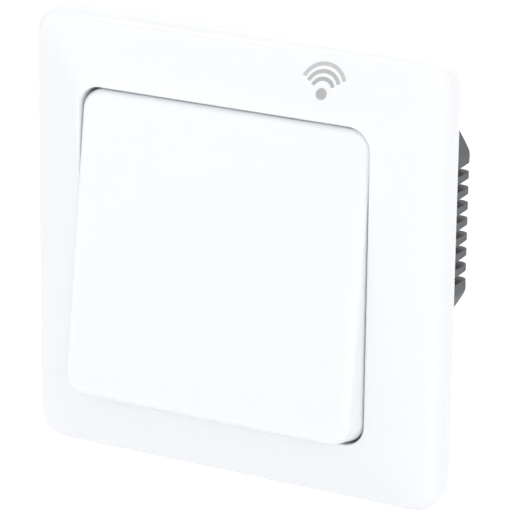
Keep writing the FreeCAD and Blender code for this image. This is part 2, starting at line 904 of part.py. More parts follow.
def build_rocker_cap():
    body = add_body("rocker_cap")
    loft_cap(body, "AdditiveLoft", "cap_outside", dim.rocker_reach, as_size(0.0))
    face = -dim.rocker_reach.value
    round_edges(body, dim.rocker_edge_round, lambda edge: level_edge(edge, face))
    loft_cap(body, "SubtractiveLoft", "cap_inside", cap_inside, dim.rocker_side_wall)
    pegs = add_sketch(body, "cap_pegs", dim.peg_stand - carrier_back)
    four_corners(pegs, dim.peg_radius, dim.peg_place_x, dim.peg_place_z)
    pad(body, pegs, dim.carrier_wall + dim.peg_stand + dim.rocker_front_wall / 2)
    return keep(seat_on_pivot(body), "rocker_cap")


def draw_ear(sketch, radius, foot):
    """An ear in side view: straight sides from its foot, and a round end about the pivot."""
    radius_now = radius.value
    foot = as_size(foot)
    tip = add_arc(sketch, 0, 0, radius_now, -90, 90)
    upper = sketch.addGeometry(
        Part.LineSegment(Vector(0, radius_now, 0), Vector(foot.value, radius_now, 0)), False
    )
    back = sketch.addGeometry(Part.LineSegment(
        Vector(foot.value, radius_now, 0), Vector(foot.value, -radius_now, 0)
    ), False)
    lower = sketch.addGeometry(
        Part.LineSegment(Vector(foot.value, -radius_now, 0), Vector(0, -radius_now, 0)), False
    )
    sketch.addConstraint(Sketcher.Constraint("Tangent", tip, 2, upper, 1))
    sketch.addConstraint(Sketcher.Constraint("Coincident", upper, 2, back, 1))
    sketch.addConstraint(Sketcher.Constraint("Coincident", back, 2, lower, 1))
    sketch.addConstraint(Sketcher.Constraint("Tangent", lower, 2, tip, 1))
    sketch.addConstraint(Sketcher.Constraint("Horizontal", upper))
    sketch.addConstraint(Sketcher.Constraint("Vertical", back))
    sketch.addConstraint(Sketcher.Constraint("Coincident", tip, 3, -1, 1))
    fix_radius(sketch, tip, radius)
    end = sketch.addConstraint(Sketcher.Constraint("DistanceX", -1, 1, back, 1, foot.value))
    sketch.setExpression("Constraints[%d]" % end, foot.formula)


def build_rocker_carrier():
    body = add_body("rocker_carrier")
    inset = 2 * (dim.rocker_side_wall + dim.carrier_inset)
    plate = add_sketch(body, "carrier_plate", -carrier_back)
    plate_height = 2 * rocker_half_height(dim.rocker_reach) - inset
    draw_rounded(plate, rocker_width - inset, plate_height, dim.carrier_corner)
    pad(body, plate, dim.carrier_wall)
    for side, name in ((1, "right"), (-1, "left")):
        inner = ear_inner if side > 0 else -(ear_inner + dim.carrier_ear_wall)
        ear = add_sketch(body, "ear_" + name, inner, "YZ_Plane")
        draw_ear(ear, dim.carrier_ear_radius, -(carrier_back + dim.carrier_wall / 2))
        pad(body, ear, dim.carrier_ear_wall)
        pin_start = post_inner if side > 0 else -(ear_inner + dim.carrier_ear_wall / 2)
        pin = add_sketch(body, "pivot_" + name, pin_start, "YZ_Plane")
        draw_circle(pin, dim.pivot_radius)
        pad(body, pin, ear_inner + dim.carrier_ear_wall / 2 - post_inner)
    tower = add_sketch(body, "tower", dim.tower_reach)
    draw_circle(tower, dim.tower_radius)
    pad(body, tower, dim.tower_reach + carrier_back + dim.carrier_wall / 2)
    bore = add_sketch(body, "tower_bore", dim.tower_reach)
    draw_circle(bore, dim.tower_bore_radius)
    pocket(body, bore, dim.tower_reach + carrier_back - dim.tower_bore_end)
    rib_reach = rocker_width / 2 - inset
    for side, name in ((1, "upper"), (-1, "lower")):
        rib = add_sketch(body, "carrier_rib_" + name, dim.carrier_rib_height - carrier_back)
        middle = side * dim.carrier_rib_place
        half_wall = dim.carrier_rib_wall / 2
        draw_rectangle(rib, -rib_reach, rib_reach, middle - half_wall, middle + half_wall)
        pad(body, rib, dim.carrier_rib_height + dim.carrier_wall / 2)
    holes = add_sketch(body, "peg_holes", dim.carrier_rib_height - carrier_back)
    four_corners(holes, dim.peg_radius + dim.peg_play, dim.peg_place_x, dim.peg_place_z)
    pocket(body, holes, dim.carrier_rib_height + 2 * dim.carrier_wall)
    return keep(seat_on_pivot(body), "rocker_carrier")


def revolve_profile(body, name, corners):
    """Turns a closed outline about the body's Y axis. Corners are (radius, y)."""
    sketch = add_sketch(body, name, 0.0, "XY_Plane")
    draw_polygon(sketch, corners)
    feature = body.newObject("PartDesign::Revolution", name + "_turned")
    feature.Profile = sketch
    feature.ReferenceAxis = (origin_part(body, "Y_Axis"), [""])
    feature.Angle = 360
    sketch.Visibility = False
    return feature


def build_detent():
    plunger = add_body("detent_plunger")
    radius = dim.tower_bore_radius - dim.plunger_play
    revolve_profile(plunger, "plunger_outline", [
        (0, dim.plunger_back),
        (radius, dim.plunger_back),
        (radius, dim.plunger_tip - radius),
        (0, dim.plunger_tip - radius),
    ])
    nose = plunger.newObject("PartDesign::AdditiveSphere", "plunger_nose")
    bind(nose, "Radius", radius)
    bind(nose, "Placement.Base.y", dim.plunger_tip - radius)
    keep(seat_on_pivot(plunger), "detent_plunger")

    # The spring is a round wire wound in half turns, each in a plane tilted by half the pitch.
    seat = dim.tower_bore_end - carrier_back
    length = dim.plunger_back - seat
    wire_radius = dim.spring_wire / 2
    coil_radius = radius - dim.spring_wire
    rise = (length - dim.spring_wire) / (2 * dim.spring_turns)
    arcs = []
    for number in range(int(2 * dim.spring_turns.value)):
        side = coil_radius.value if number % 2 == 0 else -coil_radius.value
        start = (seat + wire_radius + number * rise).value
        middle = start + rise.value / 2
        depth = math.copysign(math.hypot(side, rise.value / 2), side)
        arcs.append(Part.Arc(
            Vector(side, start, 0), Vector(0, middle, depth), Vector(-side, start + rise.value, 0)
        ).toShape())
    section = Part.Wire([Part.makeCircle(
        wire_radius.value, arcs[0].Vertexes[0].Point, Vector(0, 0, 1)
    )])
    spring = doc.addObject("Part::Feature", "detent_spring")
    spring.Shape = Part.Wire(arcs).makePipe(Part.Face(section))
    keep(seat_on_pivot(spring), "detent_spring")


# Mounting plate: pressed steel, with lugs bent back for the claws


def build_mounting_plate():
    body = add_body("mounting_plate")
    plate = add_sketch(body, "plate_outline")
    draw_rounded(plate, plate_side, plate_side, dim.plate_corner)
    pad(body, plate, dim.plate_wall)
    opening = add_sketch(body, "plate_opening")
    draw_circle(opening, plate_opening_radius)
    pocket(body, opening, dim.plate_wall + 1)
    slots = add_sketch(body, "box_slots")
    for side in (-1, 1):
        draw_stadium(
            slots, 0.0, side * dim.box_screw_spacing / 2, dim.box_slot_radius, dim.box_slot_length
        )
    pocket(body, slots, dim.plate_wall + 1)
    holes = add_sketch(body, "plate_holes")
    four_corners(holes, screw_hole_radius, plate_screw_place, plate_screw_place)
    pin_hole = dim.base_pin_radius + dim.base_pin_play
    four_corners(holes, pin_hole, base_pin_place, base_pin_place)
    for side in (-1, 1):
        claw_hole = dim.claw_screw_radius + dim.screw_hole_play
        draw_circle(holes, claw_hole, side * claw_screw_x, 0.0)
    pocket(body, holes, dim.plate_wall + 1)

    lug_start = dim.claw_half_width + dim.claw_lug_gap
    lug_left = housing_flat + dim.claw_flat_gap
    windows = add_sketch(body, "lug_windows")
    for side_x in (-1, 1):
        for side_z in (-1, 1):
            near = side_z * (lug_start + dim.lug_wall)
            far = side_z * (lug_start + dim.lug_wall + dim.lug_reach)
            left = side_x * lug_left
            right = side_x * (lug_left + dim.lug_width)
            draw_rectangle(windows, left, right, near, far)
    pocket(body, windows, dim.plate_wall + 1)
    for side_z, name in ((1, "upper"), (-1, "lower")):
        start = lug_start if side_z > 0 else -(lug_start + dim.lug_wall)
        for side_x, hand in ((1, "right"), (-1, "left")):
            lug = add_sketch(body, "lug_%s_%s" % (name, hand), start, "XY_Plane")
            draw_rectangle(
                lug,
                side_x * lug_left,
                side_x * (lug_left + dim.lug_width),
                -dim.plate_wall / 2,
                dim.lug_reach,
            )
            pad(body, lug, dim.lug_wall)
    for side_x, hand in ((1, "right"), (-1, "left")):
        eye = add_sketch(body, "lug_eyes_" + hand, 0.0, "XY_Plane")
        eye_radius = dim.claw_pin_radius + dim.claw_pin_play
        draw_circle(eye, eye_radius, side_x * claw_axis_x, dim.claw_axis_back)
        pocket(body, eye, 4 * (lug_start + dim.lug_wall), symmetric=True)
    return keep(body, "mounting_plate")


def build_base_frame():
    """A flat plastic ring on the plate, with eight latches for the cover frame."""
    body = add_body("base_frame")
    ring = add_sketch(body, "base_ring", -dim.plate_wall)
    draw_rounded(ring, base_side, base_side, dim.base_corner)
    inner_half = skirt_half + dim.base_play
    draw_rounded(ring, 2 * inner_half, 2 * inner_half, dim.opening_corner + dim.base_play)
    pad(body, ring, dim.base_wall)
    pins = add_sketch(body, "base_pins", 0.0)
    four_corners(pins, dim.base_pin_radius, base_pin_place, base_pin_place)
    pad(body, pins, dim.plate_wall + dim.base_wall / 2)
    latches = []
    for side, name in ((1, "latch_high"), (-1, "latch_low")):
        low = side * dim.latch_place - dim.latch_width / 2
        latch = add_sketch(body, name, low, "XY_Plane")
        hook = skirt_half + dim.latch_gap
        inside = inner_half
        outside = inner_half + dim.latch_wall
        nose = dim.ridge_depth + dim.latch_gap
        draw_polygon(latch, [
            (inside, -(dim.plate_wall + dim.base_wall / 2)),
            (outside, -(dim.plate_wall + dim.base_wall / 2)),
            (outside, -(dim.plate_wall + dim.latch_reach)),
            (inside, -(dim.plate_wall + dim.latch_reach)),
            (hook, -(nose + dim.ridge_height)),
            (hook, -nose),
            (inside, -nose),
        ])
        latches.append(pad(body, latch, dim.latch_width))
    around(body, latches, 4)
    return keep(body, "base_frame")


# Screws: a flat cheese head with a slot, and a plain shank


def build_screw(name, head_radius, head_height, shank_radius, length, backwards=False):
    """A screw along Y. Its head's under side is at the body's origin and its shank runs to +Y."""
    body = add_body(name)
    edge = head_height / 4
    revolve_profile(body, name + "_outline", [
        (0, -head_height),
        (head_radius - edge, -head_height),
        (head_radius, edge - head_height),
        (head_radius, 0),
        (shank_radius, 0),
        (shank_radius, length - shank_radius / 2),
        (shank_radius / 2, length),
        (0, length),
    ])
    slot = add_sketch(body, name + "_slot", -head_height / 2)
    draw_rectangle(slot, -2 * head_radius, 2 * head_radius, -head_radius / 6, head_radius / 6)
    pocket(body, slot, head_height)
    if backwards:
        turn(body, Vector(1, 0, 0), Size(180, "180"))
    return body


def build_plate_screws():
    screws = []
    for side_x in (-1, 1):
        for side_z in (-1, 1):
            screw = build_screw(
                "plate_screw",
                dim.plate_screw_head_radius,
                dim.plate_screw_head,
                dim.plate_screw_radius,
                dim.plate_screw_length,
            )
            corner = plate_screw_place
            screws.append(place(screw, side_x * corner, -dim.plate_wall, side_z * corner))
    return keep(group("plate_screws", screws), "plate_screws")


def build_claw_screws():
    screws = []
    for side in (-1, 1):
        screw = build_screw(
            "claw_screw",
            dim.claw_screw_head_radius,
            dim.claw_screw_head,
            dim.claw_screw_radius,
            dim.claw_screw_length,
        )
        screws.append(place(screw, side * claw_screw_x, -dim.plate_wall, 0.0))
    return keep(group("claw_screws", screws), "claw_screws")


# Claws: each a slotted steel leaf with two trunnions and a toothed foot


def build_claw(label, hand):
    body = add_body(label)
    inner = housing_flat + dim.claw_flat_gap - claw_axis_x
    outer = inner + dim.claw_wall
    start = -dim.claw_pin_radius / 2
    foot_front = dim.claw_length - dim.claw_wall
    tip = outer + dim.claw_foot
    leaf = add_sketch(body, label + "_leaf", 0.0, "XY_Plane")
    draw_polygon(leaf, [
        (inner, start),
        (outer, start),
        (outer, foot_front),
        (tip, foot_front),
        (tip - dim.claw_wall / 3, foot_front + dim.claw_wall / 2),
        (tip, dim.claw_length),
        (inner, dim.claw_length),
    ])
    pad(body, leaf, 2 * dim.claw_half_width, symmetric=True)
    slot = add_sketch(body, label + "_slot", -2 * dim.claw_slot_half, "YZ_Plane")
    draw_rectangle(
        slot, 2 * start, foot_front - dim.claw_wall / 2, -dim.claw_slot_half, dim.claw_slot_half
    )
    pocket(body, slot, 4 * dim.claw_slot_half)
    pin_end = dim.claw_half_width + dim.claw_lug_gap + dim.lug_wall + dim.claw_lug_gap
    pin_start = dim.claw_slot_half + dim.claw_wall
    for side, name in ((1, "upper"), (-1, "lower")):
        low = pin_start if side > 0 else -pin_end
        pin = add_sketch(body, "%s_pin_%s" % (label, name), low, "XY_Plane")
        draw_circle(pin, dim.claw_pin_radius)
        pad(body, pin, pin_end - pin_start)
    if hand < 0:
        turn(body, Vector(0, 1, 0), Size(180, "180"))
    place(body, hand * claw_axis_x, dim.claw_axis_back, 0.0)
    return keep(body, label)


# Rear housing: a moulded cup with two flats, vent slots and a terminal bay


def build_rear_housing():
    body = add_body("rear_housing")
    outside = add_sketch(body, "cup_outside", dim.housing_back)
    draw_circle(outside, dim.housing_radius)
    pad(body, outside, dim.housing_back - dim.flange_wall)
    back = dim.housing_back.value
    round_edges(body, dim.housing_edge_round, lambda edge: level_edge(edge, back))
    flats = add_sketch(body, "cup_flats", dim.housing_back + 1)
    for side in (-1, 1):
        near = side * housing_flat
        far = side * (dim.housing_radius + 1)
        draw_rectangle(flats, near, far, -dim.housing_radius, dim.housing_radius)
    pocket(body, flats, dim.housing_back + 1)
    flat_reach = housing_flat.value
    round_edges(
        body,
        dim.housing_edge_round,
        lambda edge: level_edge(edge, back) and abs(abs(edge.CenterOfMass.x) - flat_reach) < 1e-3,
    )
    inside = add_sketch(body, "cup_inside", back_inside)
    draw_flatted_disc(inside, radius_inside, flat_inside)
    pocket(body, inside, back_inside)

    bay_outer = dim.bay_half_width + dim.bay_wall
    bay_arc = dim.housing_radius - dim.housing_wall / 2
    bay_back = back_inside + dim.housing_back_wall / 2
    walls = add_sketch(body, "bay_walls", bay_back)
    low = root_of(bay_arc * bay_arc - bay_outer * bay_outer)
    edge = math.degrees(math.atan2(low.value, bay_outer.value))
    arc = add_arc(walls, 0, 0, bay_arc.value, 180 + edge, 360 - edge)
    top = -(dim.bay_top - dim.bay_wall)
    corners = [
        Vector(bay_outer.value, -low.value, 0),
        Vector(bay_outer.value, top.value, 0),
        Vector(-bay_outer.value, top.value, 0),
        Vector(-bay_outer.value, -low.value, 0),
    ]
    lines = [
        walls.addGeometry(Part.LineSegment(corners[n], corners[n + 1]), False) for n in range(3)
    ]
    walls.addConstraint(Sketcher.Constraint("Coincident", arc, 2, lines[0], 1))
    walls.addConstraint(Sketcher.Constraint("Coincident", lines[0], 2, lines[1], 1))
    walls.addConstraint(Sketcher.Constraint("Coincident", lines[1], 2, lines[2], 1))
    walls.addConstraint(Sketcher.Constraint("Coincident", lines[2], 2, arc, 1))
    walls.addConstraint(Sketcher.Constraint("Coincident", arc, 3, -1, 1))
    walls.addConstraint(Sketcher.Constraint("Vertical", lines[0]))
    walls.addConstraint(Sketcher.Constraint("Vertical", lines[2]))
    fix_radius(walls, arc, bay_arc)
    fix_point(walls, lines[1], 1, bay_outer, top)
    fix_point(walls, lines[1], 2, -bay_outer, top)
    pad(body, walls, bay_back - dim.power_board_back)
    bay = add_sketch(body, "bay", dim.housing_back + 1)
    draw_rectangle(
        bay, -dim.bay_half_width, dim.bay_half_width, -dim.housing_radius - 1, -dim.bay_top
    )
    pocket(body, bay, dim.housing_back + 1 - bay_floor)

    bosses = add_sketch(body, "screw_bosses", dim.flange_wall + dim.boss_length)
    four_corners(bosses, dim.boss_radius, plate_screw_place, plate_screw_place)
    pad(body, bosses, dim.boss_length)
    bores = add_sketch(body, "screw_bores", dim.flange_wall + dim.boss_bore_depth)
    bore_radius = dim.plate_screw_radius + dim.screw_hole_play / 3
    four_corners(bores, bore_radius, plate_screw_place, plate_screw_place)
    pocket(body, bores, dim.boss_bore_depth)

    scallops = add_sketch(body, "box_screw_scallops", dim.housing_back + 1)
    for side in (-1, 1):
        draw_circle(scallops, dim.scallop_radius, 0.0, side * dim.box_screw_spacing / 2)
    pocket(body, scallops, dim.housing_back)

    vent_front = dim.housing_back - dim.vent_length
    for side, name in ((1, "right"), (-1, "left")):
        start = housing_flat - dim.vent_inward if side > 0 else -housing_flat - 1
        slot = add_sketch(body, "vent_" + name, start, "YZ_Plane")
        draw_polygon(slot, [
            (vent_front, vent_top - dim.vent_front_height / 2),
            (dim.housing_back + 1, vent_top - dim.vent_back_height / 2),
            (dim.housing_back + 1, vent_top + dim.vent_back_height / 2),
            (vent_front, vent_top + dim.vent_front_height / 2),
        ])
        first = pocket(body, slot, dim.vent_inward + 1)
        row = along(body, [first], "Z_Axis", int(dim.vent_count.value), dim.vent_pitch)
        row.Reversed = True
        bind(row, "Occurrences", dim.vent_count)
    return keep(body, "rear_housing")


# Front cover of the insert: flange, raised disc and the rocker's bearing posts


def build_housing_front():
    body = add_body("housing_front")
    flange = add_sketch(body, "flange", dim.flange_wall)
    draw_flatted_disc(flange, dim.housing_radius, housing_flat)
    pad(body, flange, dim.flange_wall)
    disc = add_sketch(body, "raised_disc", dim.flange_wall / 2)
    draw_circle(disc, boss_disc_radius)
    pad(body, disc, dim.flange_wall / 2 + dim.boss_disc_stand)
    for side, name in ((1, "right"), (-1, "left")):
        start = post_inner if side > 0 else -post_outer
        post = add_sketch(body, "post_" + name, start, "YZ_Plane")
        foot = -dim.boss_disc_stand + dim.flange_wall / 2
        draw_polygon(post, [
            (foot, -dim.post_radius),
            (foot, dim.post_radius),
            (-dim.pivot_front, dim.post_radius),
            (-dim.pivot_front, -dim.post_radius),
        ])
        pad(body, post, dim.post_wall)
        head = add_sketch(body, "post_head_" + name, start, "YZ_Plane")
        draw_circle(head, dim.post_radius, -dim.pivot_front, 0.0)
        pad(body, head, dim.post_wall)
    bearing = add_sketch(body, "bearing", 0.0, "YZ_Plane")
    draw_circle(bearing, dim.pivot_radius + dim.pivot_play, -dim.pivot_front, 0.0)
    pocket(body, bearing, 2 * post_outer + 2, symmetric=True)
    standoffs = add_sketch(body, "standoffs", dim.control_board_front)
    four_corners(standoffs, dim.standoff_radius, dim.standoff_x, dim.standoff_z)
    pad(body, standoffs, dim.control_board_front - dim.flange_wall / 2)
    holes = add_sketch(body, "cover_holes", dim.flange_wall + 1)
    draw_circle(holes, dim.tower_hole_radius)
    corner = plate_screw_place
    four_corners(holes, screw_hole_radius, corner, corner)
    pocket(body, holes, dim.flange_wall + dim.boss_disc_stand + 2)
    scallops = add_sketch(body, "flange_scallops", dim.flange_wall + 1)
    for side in (-1, 1):
        draw_circle(scallops, dim.scallop_radius, 0.0, side * dim.box_screw_spacing / 2)
    pocket(body, scallops, dim.flange_wall + 1)
    return keep(body, "housing_front")


# Contact seesaw behind the front cover


def build_contacts():
    bridge = add_body("contact_bridge")
    strip = add_sketch(bridge, "bridge_strip", dim.bridge_wall - dim.bridge_front)
    draw_rectangle(
        strip,
        -dim.bridge_width / 2,
        dim.bridge_width / 2,
        -dim.bridge_length / 2,
        dim.bridge_length / 2,
    )
    pad(bridge, strip, dim.bridge_wall)
    hub = add_sketch(bridge, "bridge_hub", -dim.bridge_width / 2, "YZ_Plane")
    draw_circle(hub, dim.bridge_hub_radius)
    pad(bridge, hub, dim.bridge_width)
    bore = add_sketch(bridge, "bridge_bore", -dim.bridge_width, "YZ_Plane")
    draw_circle(bore, dim.bridge_pin_radius + dim.bridge_pin_play)
    pocket(bridge, bore, 2 * dim.bridge_width)
    contact_end = dim.contact_height + dim.bridge_wall - dim.bridge_front
    rivets = add_sketch(bridge, "bridge_rivets", contact_end)
    for side in (-1, 1):
        draw_circle(rivets, dim.contact_radius, 0.0, side * dim.contact_place)
    pad(bridge, rivets, dim.contact_height + dim.bridge_wall / 2)
    turn(bridge, Vector(1, 0, 0), dim.bridge_tilt)
    bind(bridge, "Placement.Base.y", dim.bridge_pivot)
    keep(bridge, "contact_bridge")

    ear_near = dim.bridge_width / 2 + dim.bracket_gap
    ear_far = ear_near + dim.bracket_wall
    board = dim.control_board_front
    top = dim.bridge_pivot - dim.bridge_hub_radius
    foot = add_box(
        "bracket_foot",
        (-ear_far, ear_far),
        (board - dim.bracket_wall, board),
        (-dim.bracket_half_height, dim.bracket_half_height),
    )
    ears = [
        add_box(
            "bracket_ear",
            (low, low + dim.bracket_wall),
            (top, board),
            (-dim.bracket_half_height, dim.bracket_half_height),
        )
        for low in (ear_near, -ear_far)
    ]
    hole = add_cylinder(
        "bracket_hole",
        dim.bridge_pin_radius,
        2 * ear_far + 2,
        -ear_far - 1,
        dim.bridge_pivot,
        0.0,
        Vector(1, 0, 0),
    )
    keep(cut("bridge_bracket", fuse("bracket_blank", foot, *ears), hole), "bridge_bracket")
    keep(add_cylinder(
        "bridge_pin",
        dim.bridge_pin_radius,
        2 * ear_far,
        -ear_far,
        dim.bridge_pivot,
        0.0,
        Vector(1, 0, 0),
    ), "bridge_pin")

    drop = dim.contact_place * sine(dim.bridge_tilt) + contact_end * cosine(dim.bridge_tilt)
    front = dim.bridge_pivot + drop + dim.contact_gap
    posts = []
    for side in (-1, 1):
        middle = side * dim.contact_place
        rivet = add_cylinder(
            "fixed_rivet", dim.contact_radius, dim.contact_height, 0.0, front, middle
        )
        half = dim.contact_post_wall / 2
        post = add_box(
            "contact_post",
            (-dim.contact_post_width / 2, dim.contact_post_width / 2),
            (front + dim.contact_height, board),
            (middle - half, middle + half),
        )
        posts.append(fuse("fixed_contact", rivet, post))
    keep(group("fixed_contacts", posts), "fixed_contacts")


# Circuit boards and what they carry


def build_board(label, back):
    body = add_body(label)
    outline = add_sketch(body, label + "_outline", back)
    draw_flatted_disc(outline, radius_inside - dim.board_play, flat_inside - dim.board_flat_play)
    pad(body, outline, dim.board_wall)
    notches = add_sketch(body, label + "_notches", back + 1)
    notch = dim.boss_radius + dim.boss_clearance
    four_corners(notches, notch, plate_screw_place, plate_screw_place)
    pocket(body, notches, dim.board_wall + 2)
    return keep(body, label)


def build_spacers():
    spacers = [
        add_cylinder(
            "board_spacer",
            dim.spacer_radius,
            power_front - control_back,
            side_x * dim.standoff_x,
            control_back,
            side_z * dim.standoff_z,
        )
        for side_x in (-1, 1)
        for side_z in (-1, 1)
    ]
    return keep(group("board_spacers", spacers), "board_spacers")


def build_radio():
    board = dim.control_board_front
    radio_left = dim.radio_gap - flat_inside
    half_height = dim.radio_height / 2
    module_front = board - dim.radio_wall
    module = add_box(
        "radio_module",
        (radio_left, radio_left + dim.radio_width),
        (module_front, board),
        (dim.radio_z - half_height, dim.radio_z + half_height),
    )
    keep(module, "radio_module")
    shield = add_box(
        "shield_block",
        (radio_left + dim.shield_left, radio_left + dim.radio_width - dim.shield_margin),
        (module_front - dim.shield_stand, module_front),
        (
            dim.radio_z - half_height + dim.shield_margin,
            dim.radio_z + half_height - dim.shield_margin,
        ),
    )
    shield_front = (module_front - dim.shield_stand).value
    edge = dim.shield_stand / 5
    keep(
        chamfer_all("radio_shield", shield, edge, lambda item: level_edge(item, shield_front)),
        "radio_shield",
    )
    # The antenna is a wire ring behind the front cover, soldered to the module by a short leg.
    ring_level = dim.flange_wall + dim.antenna_gap + dim.antenna_wire
    antenna_radius = radius_inside - dim.antenna_margin
    ring = doc.addObject("Part::Torus", "antenna_ring")
    bind(ring, "Radius1", antenna_radius)
    bind(ring, "Radius2", dim.antenna_wire)
    bind(ring, "Angle3", dim.antenna_sweep)
    ring.Placement = FreeCAD.Placement(Vector(0, 0, 0), FreeCAD.Rotation(Vector(1, 0, 0), -90))
    place(ring, 0.0, ring_level, 0.0)
    leg = add_cylinder(
        "antenna_leg",
        dim.antenna_wire,
        module_front - ring_level,
        antenna_radius * cosine(dim.antenna_sweep),
        ring_level,
        -antenna_radius * sine(dim.antenna_sweep),
    )
    keep(fuse("antenna", ring, leg), "antenna")


def build_relay():
    front = power_front - dim.relay_stand
    left = dim.relay_gap - flat_inside
    block = add_box(
        "relay_block",
        (left, left + dim.relay_width),
        (front, power_front),
        (dim.relay_z - dim.relay_height / 2, dim.relay_z + dim.relay_height / 2),
    )
    back = power_front.value
    keep(chamfer_all("relay", block, dim.relay_edge, lambda e: not level_edge(e, back)), "relay")


def build_transformer():
    """A ferrite core that wraps round a bobbin, with the winding showing above and below."""
    half_width = dim.transformer_width / 2
    x = flat_inside - dim.transformer_gap - half_width
    z = dim.transformer_z
    front = power_front - dim.transformer_stand
    margin = dim.winding_margin
    half_height = dim.transformer_height / 2
    block = add_box(
        "core_block",
        (x - half_width, x + half_width),
        (front, power_front),
        (z - half_height + margin, z + half_height - margin),
    )
    window = add_box(
        "core_window",
        (x - half_width + margin, x + half_width - margin),
        (front + margin, power_front),
        (z - half_height, z + half_height),
    )
    keep(cut("transformer_core", block, window), "transformer_core")
    winding = add_box(
        "winding_block",
        (x - half_width + margin, x + half_width - margin),
        (front + margin, power_front),
        (z - half_height, z + half_height),
    )
    edge = margin / 3
    reach = half_height.value - 1e-3
    keep(
        chamfer_all(
            "transformer_winding",
            winding,
            edge,
            lambda e: abs(e.CenterOfMass.z - z.value) > reach and e.CenterOfMass.y < back_inside.value,
        ),
        "transformer_winding",
    )


def build_rear_parts():
    """Capacitors, choke and fuse on the back of the power board."""
    board = dim.power_board_back
    cans = []
    first_can = dim.capacitor_gap + dim.capacitor_radius - flat_inside
    for number in range(2):
        can = add_cylinder(
            "capacitor_can",
            dim.capacitor_radius,
            dim.capacitor_stand,
            first_can + number * dim.capacitor_pitch,
            board,
            dim.capacitor_z,
        )
        back = (board + dim.capacitor_stand).value
        cans.append(chamfer_all(
            "capacitor", can, dim.capacitor_edge, lambda e, level=back: level_edge(e, level)
        ))
    keep(group("capacitors", cans), "capacitors")

    ring = doc.addObject("Part::Torus", "choke")
    bind(ring, "Radius1", dim.choke_radius)
    bind(ring, "Radius2", dim.choke_wire)
    ring.Placement = FreeCAD.Placement(Vector(0, 0, 0), FreeCAD.Rotation(Vector(1, 0, 0), -90))
    choke_x = flat_inside - dim.choke_gap - dim.choke_radius - dim.choke_wire
    keep(place(ring, choke_x, board + dim.choke_wire, dim.choke_z), "choke")

    axis = Vector(1, 0, 0)
    level = board + dim.fuse_radius + dim.fuse_cap_wall
    start = dim.fuse_x - dim.fuse_length / 2
    tube = add_cylinder(
        "fuse_tube", dim.fuse_radius, dim.fuse_length, start, level, dim.fuse_z, axis
    )
    keep(tube, "fuse_tube")
    caps = []
    outer_radius = dim.fuse_radius + dim.fuse_cap_wall
    for low in (start - dim.fuse_cap_wall, start + dim.fuse_length - dim.fuse_cap_length):
        length = dim.fuse_cap_length + dim.fuse_cap_wall
        cap = add_cylinder("fuse_cap_blank", outer_radius, length, low, level, dim.fuse_z, axis)
        bore = add_cylinder(
            "fuse_cap_bore", dim.fuse_radius, dim.fuse_length, start, level, dim.fuse_z, axis
        )
        caps.append(cut("fuse_cap", cap, bore))
    keep(group("fuse_caps", caps), "fuse_caps")

    header = add_box(
        "board_header",
        (-dim.header_width / 2, dim.header_width / 2),
        (control_back, power_front),
        (dim.header_z, dim.header_z + dim.header_wall),
    )
    keep(header, "board_header")


# Terminals: a block in the rear bay, with a brass cage and a screw for each pole


def pole_place(number):
    return (number - (POLES - 1) / 2) * dim.pole_pitch


def build_terminals():
    block_back = dim.housing_back - dim.block_back_sink
    half_width = dim.bay_half_width - dim.block_play
    cavity_front = bay_floor + dim.cage_from_floor
    cavity_back = cavity_front + dim.cage_depth + 2 * dim.cage_play
    well_floor = cavity_back + dim.well_web
    cage_top = dim.block_play + dim.bay_top + dim.cage_from_floor + dim.cage_play
    screw_z = -(cage_top + dim.cage_height / 2)

    block = add_body("terminal_block")
    outline = add_sketch(block, "block_outline", block_back)
    draw_rectangle(
        outline, -half_width, half_width, -dim.block_bottom, -(dim.bay_top + dim.block_play)
    )
    pad(block, outline, block_back - bay_floor)
    cavity = add_sketch(block, "cage_cavity", -dim.block_bottom, "XY_Plane")
    half_cavity = dim.cage_width / 2 + dim.cage_play
    first = pole_place(0)
    draw_rectangle(cavity, first - half_cavity, first + half_cavity, cavity_front, cavity_back)
    cavities = pocket(block, cavity, dim.block_bottom - cage_top + dim.cage_play)
    well = add_sketch(block, "screw_well", block_back)
    draw_circle(well, dim.well_radius, first, screw_z)
    wells = pocket(block, well, block_back - well_floor)
    hole = add_sketch(block, "web_hole", block_back)
    draw_circle(hole, dim.terminal_screw_radius + dim.well_play, first, screw_z)
    holes = pocket(block, hole, block_back - cavity_front)
    row = along(block, [cavities, wells, holes], "X_Axis", POLES, dim.pole_pitch)
    bind(row, "Occurrences", dim.pole_count)
    keep(block, "terminal_block")

    cages = []
    screws = []
    for number in range(POLES):
        x = pole_place(number)
        low = -(cage_top + dim.cage_height)
        outer = add_box(
            "cage_block",
            (x - dim.cage_width / 2, x + dim.cage_width / 2),
            (cavity_front + dim.cage_play, cavity_back - dim.cage_play),
            (low, -cage_top),
        )
        wire_way = add_box(
            "wire_way",
            (x - dim.cage_width / 2 + dim.cage_wall, x + dim.cage_width / 2 - dim.cage_wall),
            (
                cavity_front + dim.cage_play + dim.cage_wall,
                cavity_back - dim.cage_play - dim.cage_wall,
            ),
            (low - 1, 1 - cage_top),
        )
        screw_way = add_cylinder(
            "screw_way",
            dim.terminal_screw_radius + dim.well_play / 2,
            dim.cage_depth / 2,
            x,
            cavity_back - dim.cage_depth / 2,
            screw_z,
        )
        cages.append(cut("cage", outer, fuse("cage_ways", wire_way, screw_way)))
        screw = build_screw(
            "terminal_screw",
            dim.well_radius - dim.well_play,
            dim.terminal_screw_head,
            dim.terminal_screw_radius,
            dim.well_web + dim.cage_play + dim.cage_wall + dim.terminal_screw_radius,
            backwards=True,
        )
        screws.append(place(screw, x, well_floor, screw_z))
    keep(group("terminal_clamps", cages), "terminal_clamps")
    keep(group("terminal_screws", screws), "terminal_screws")


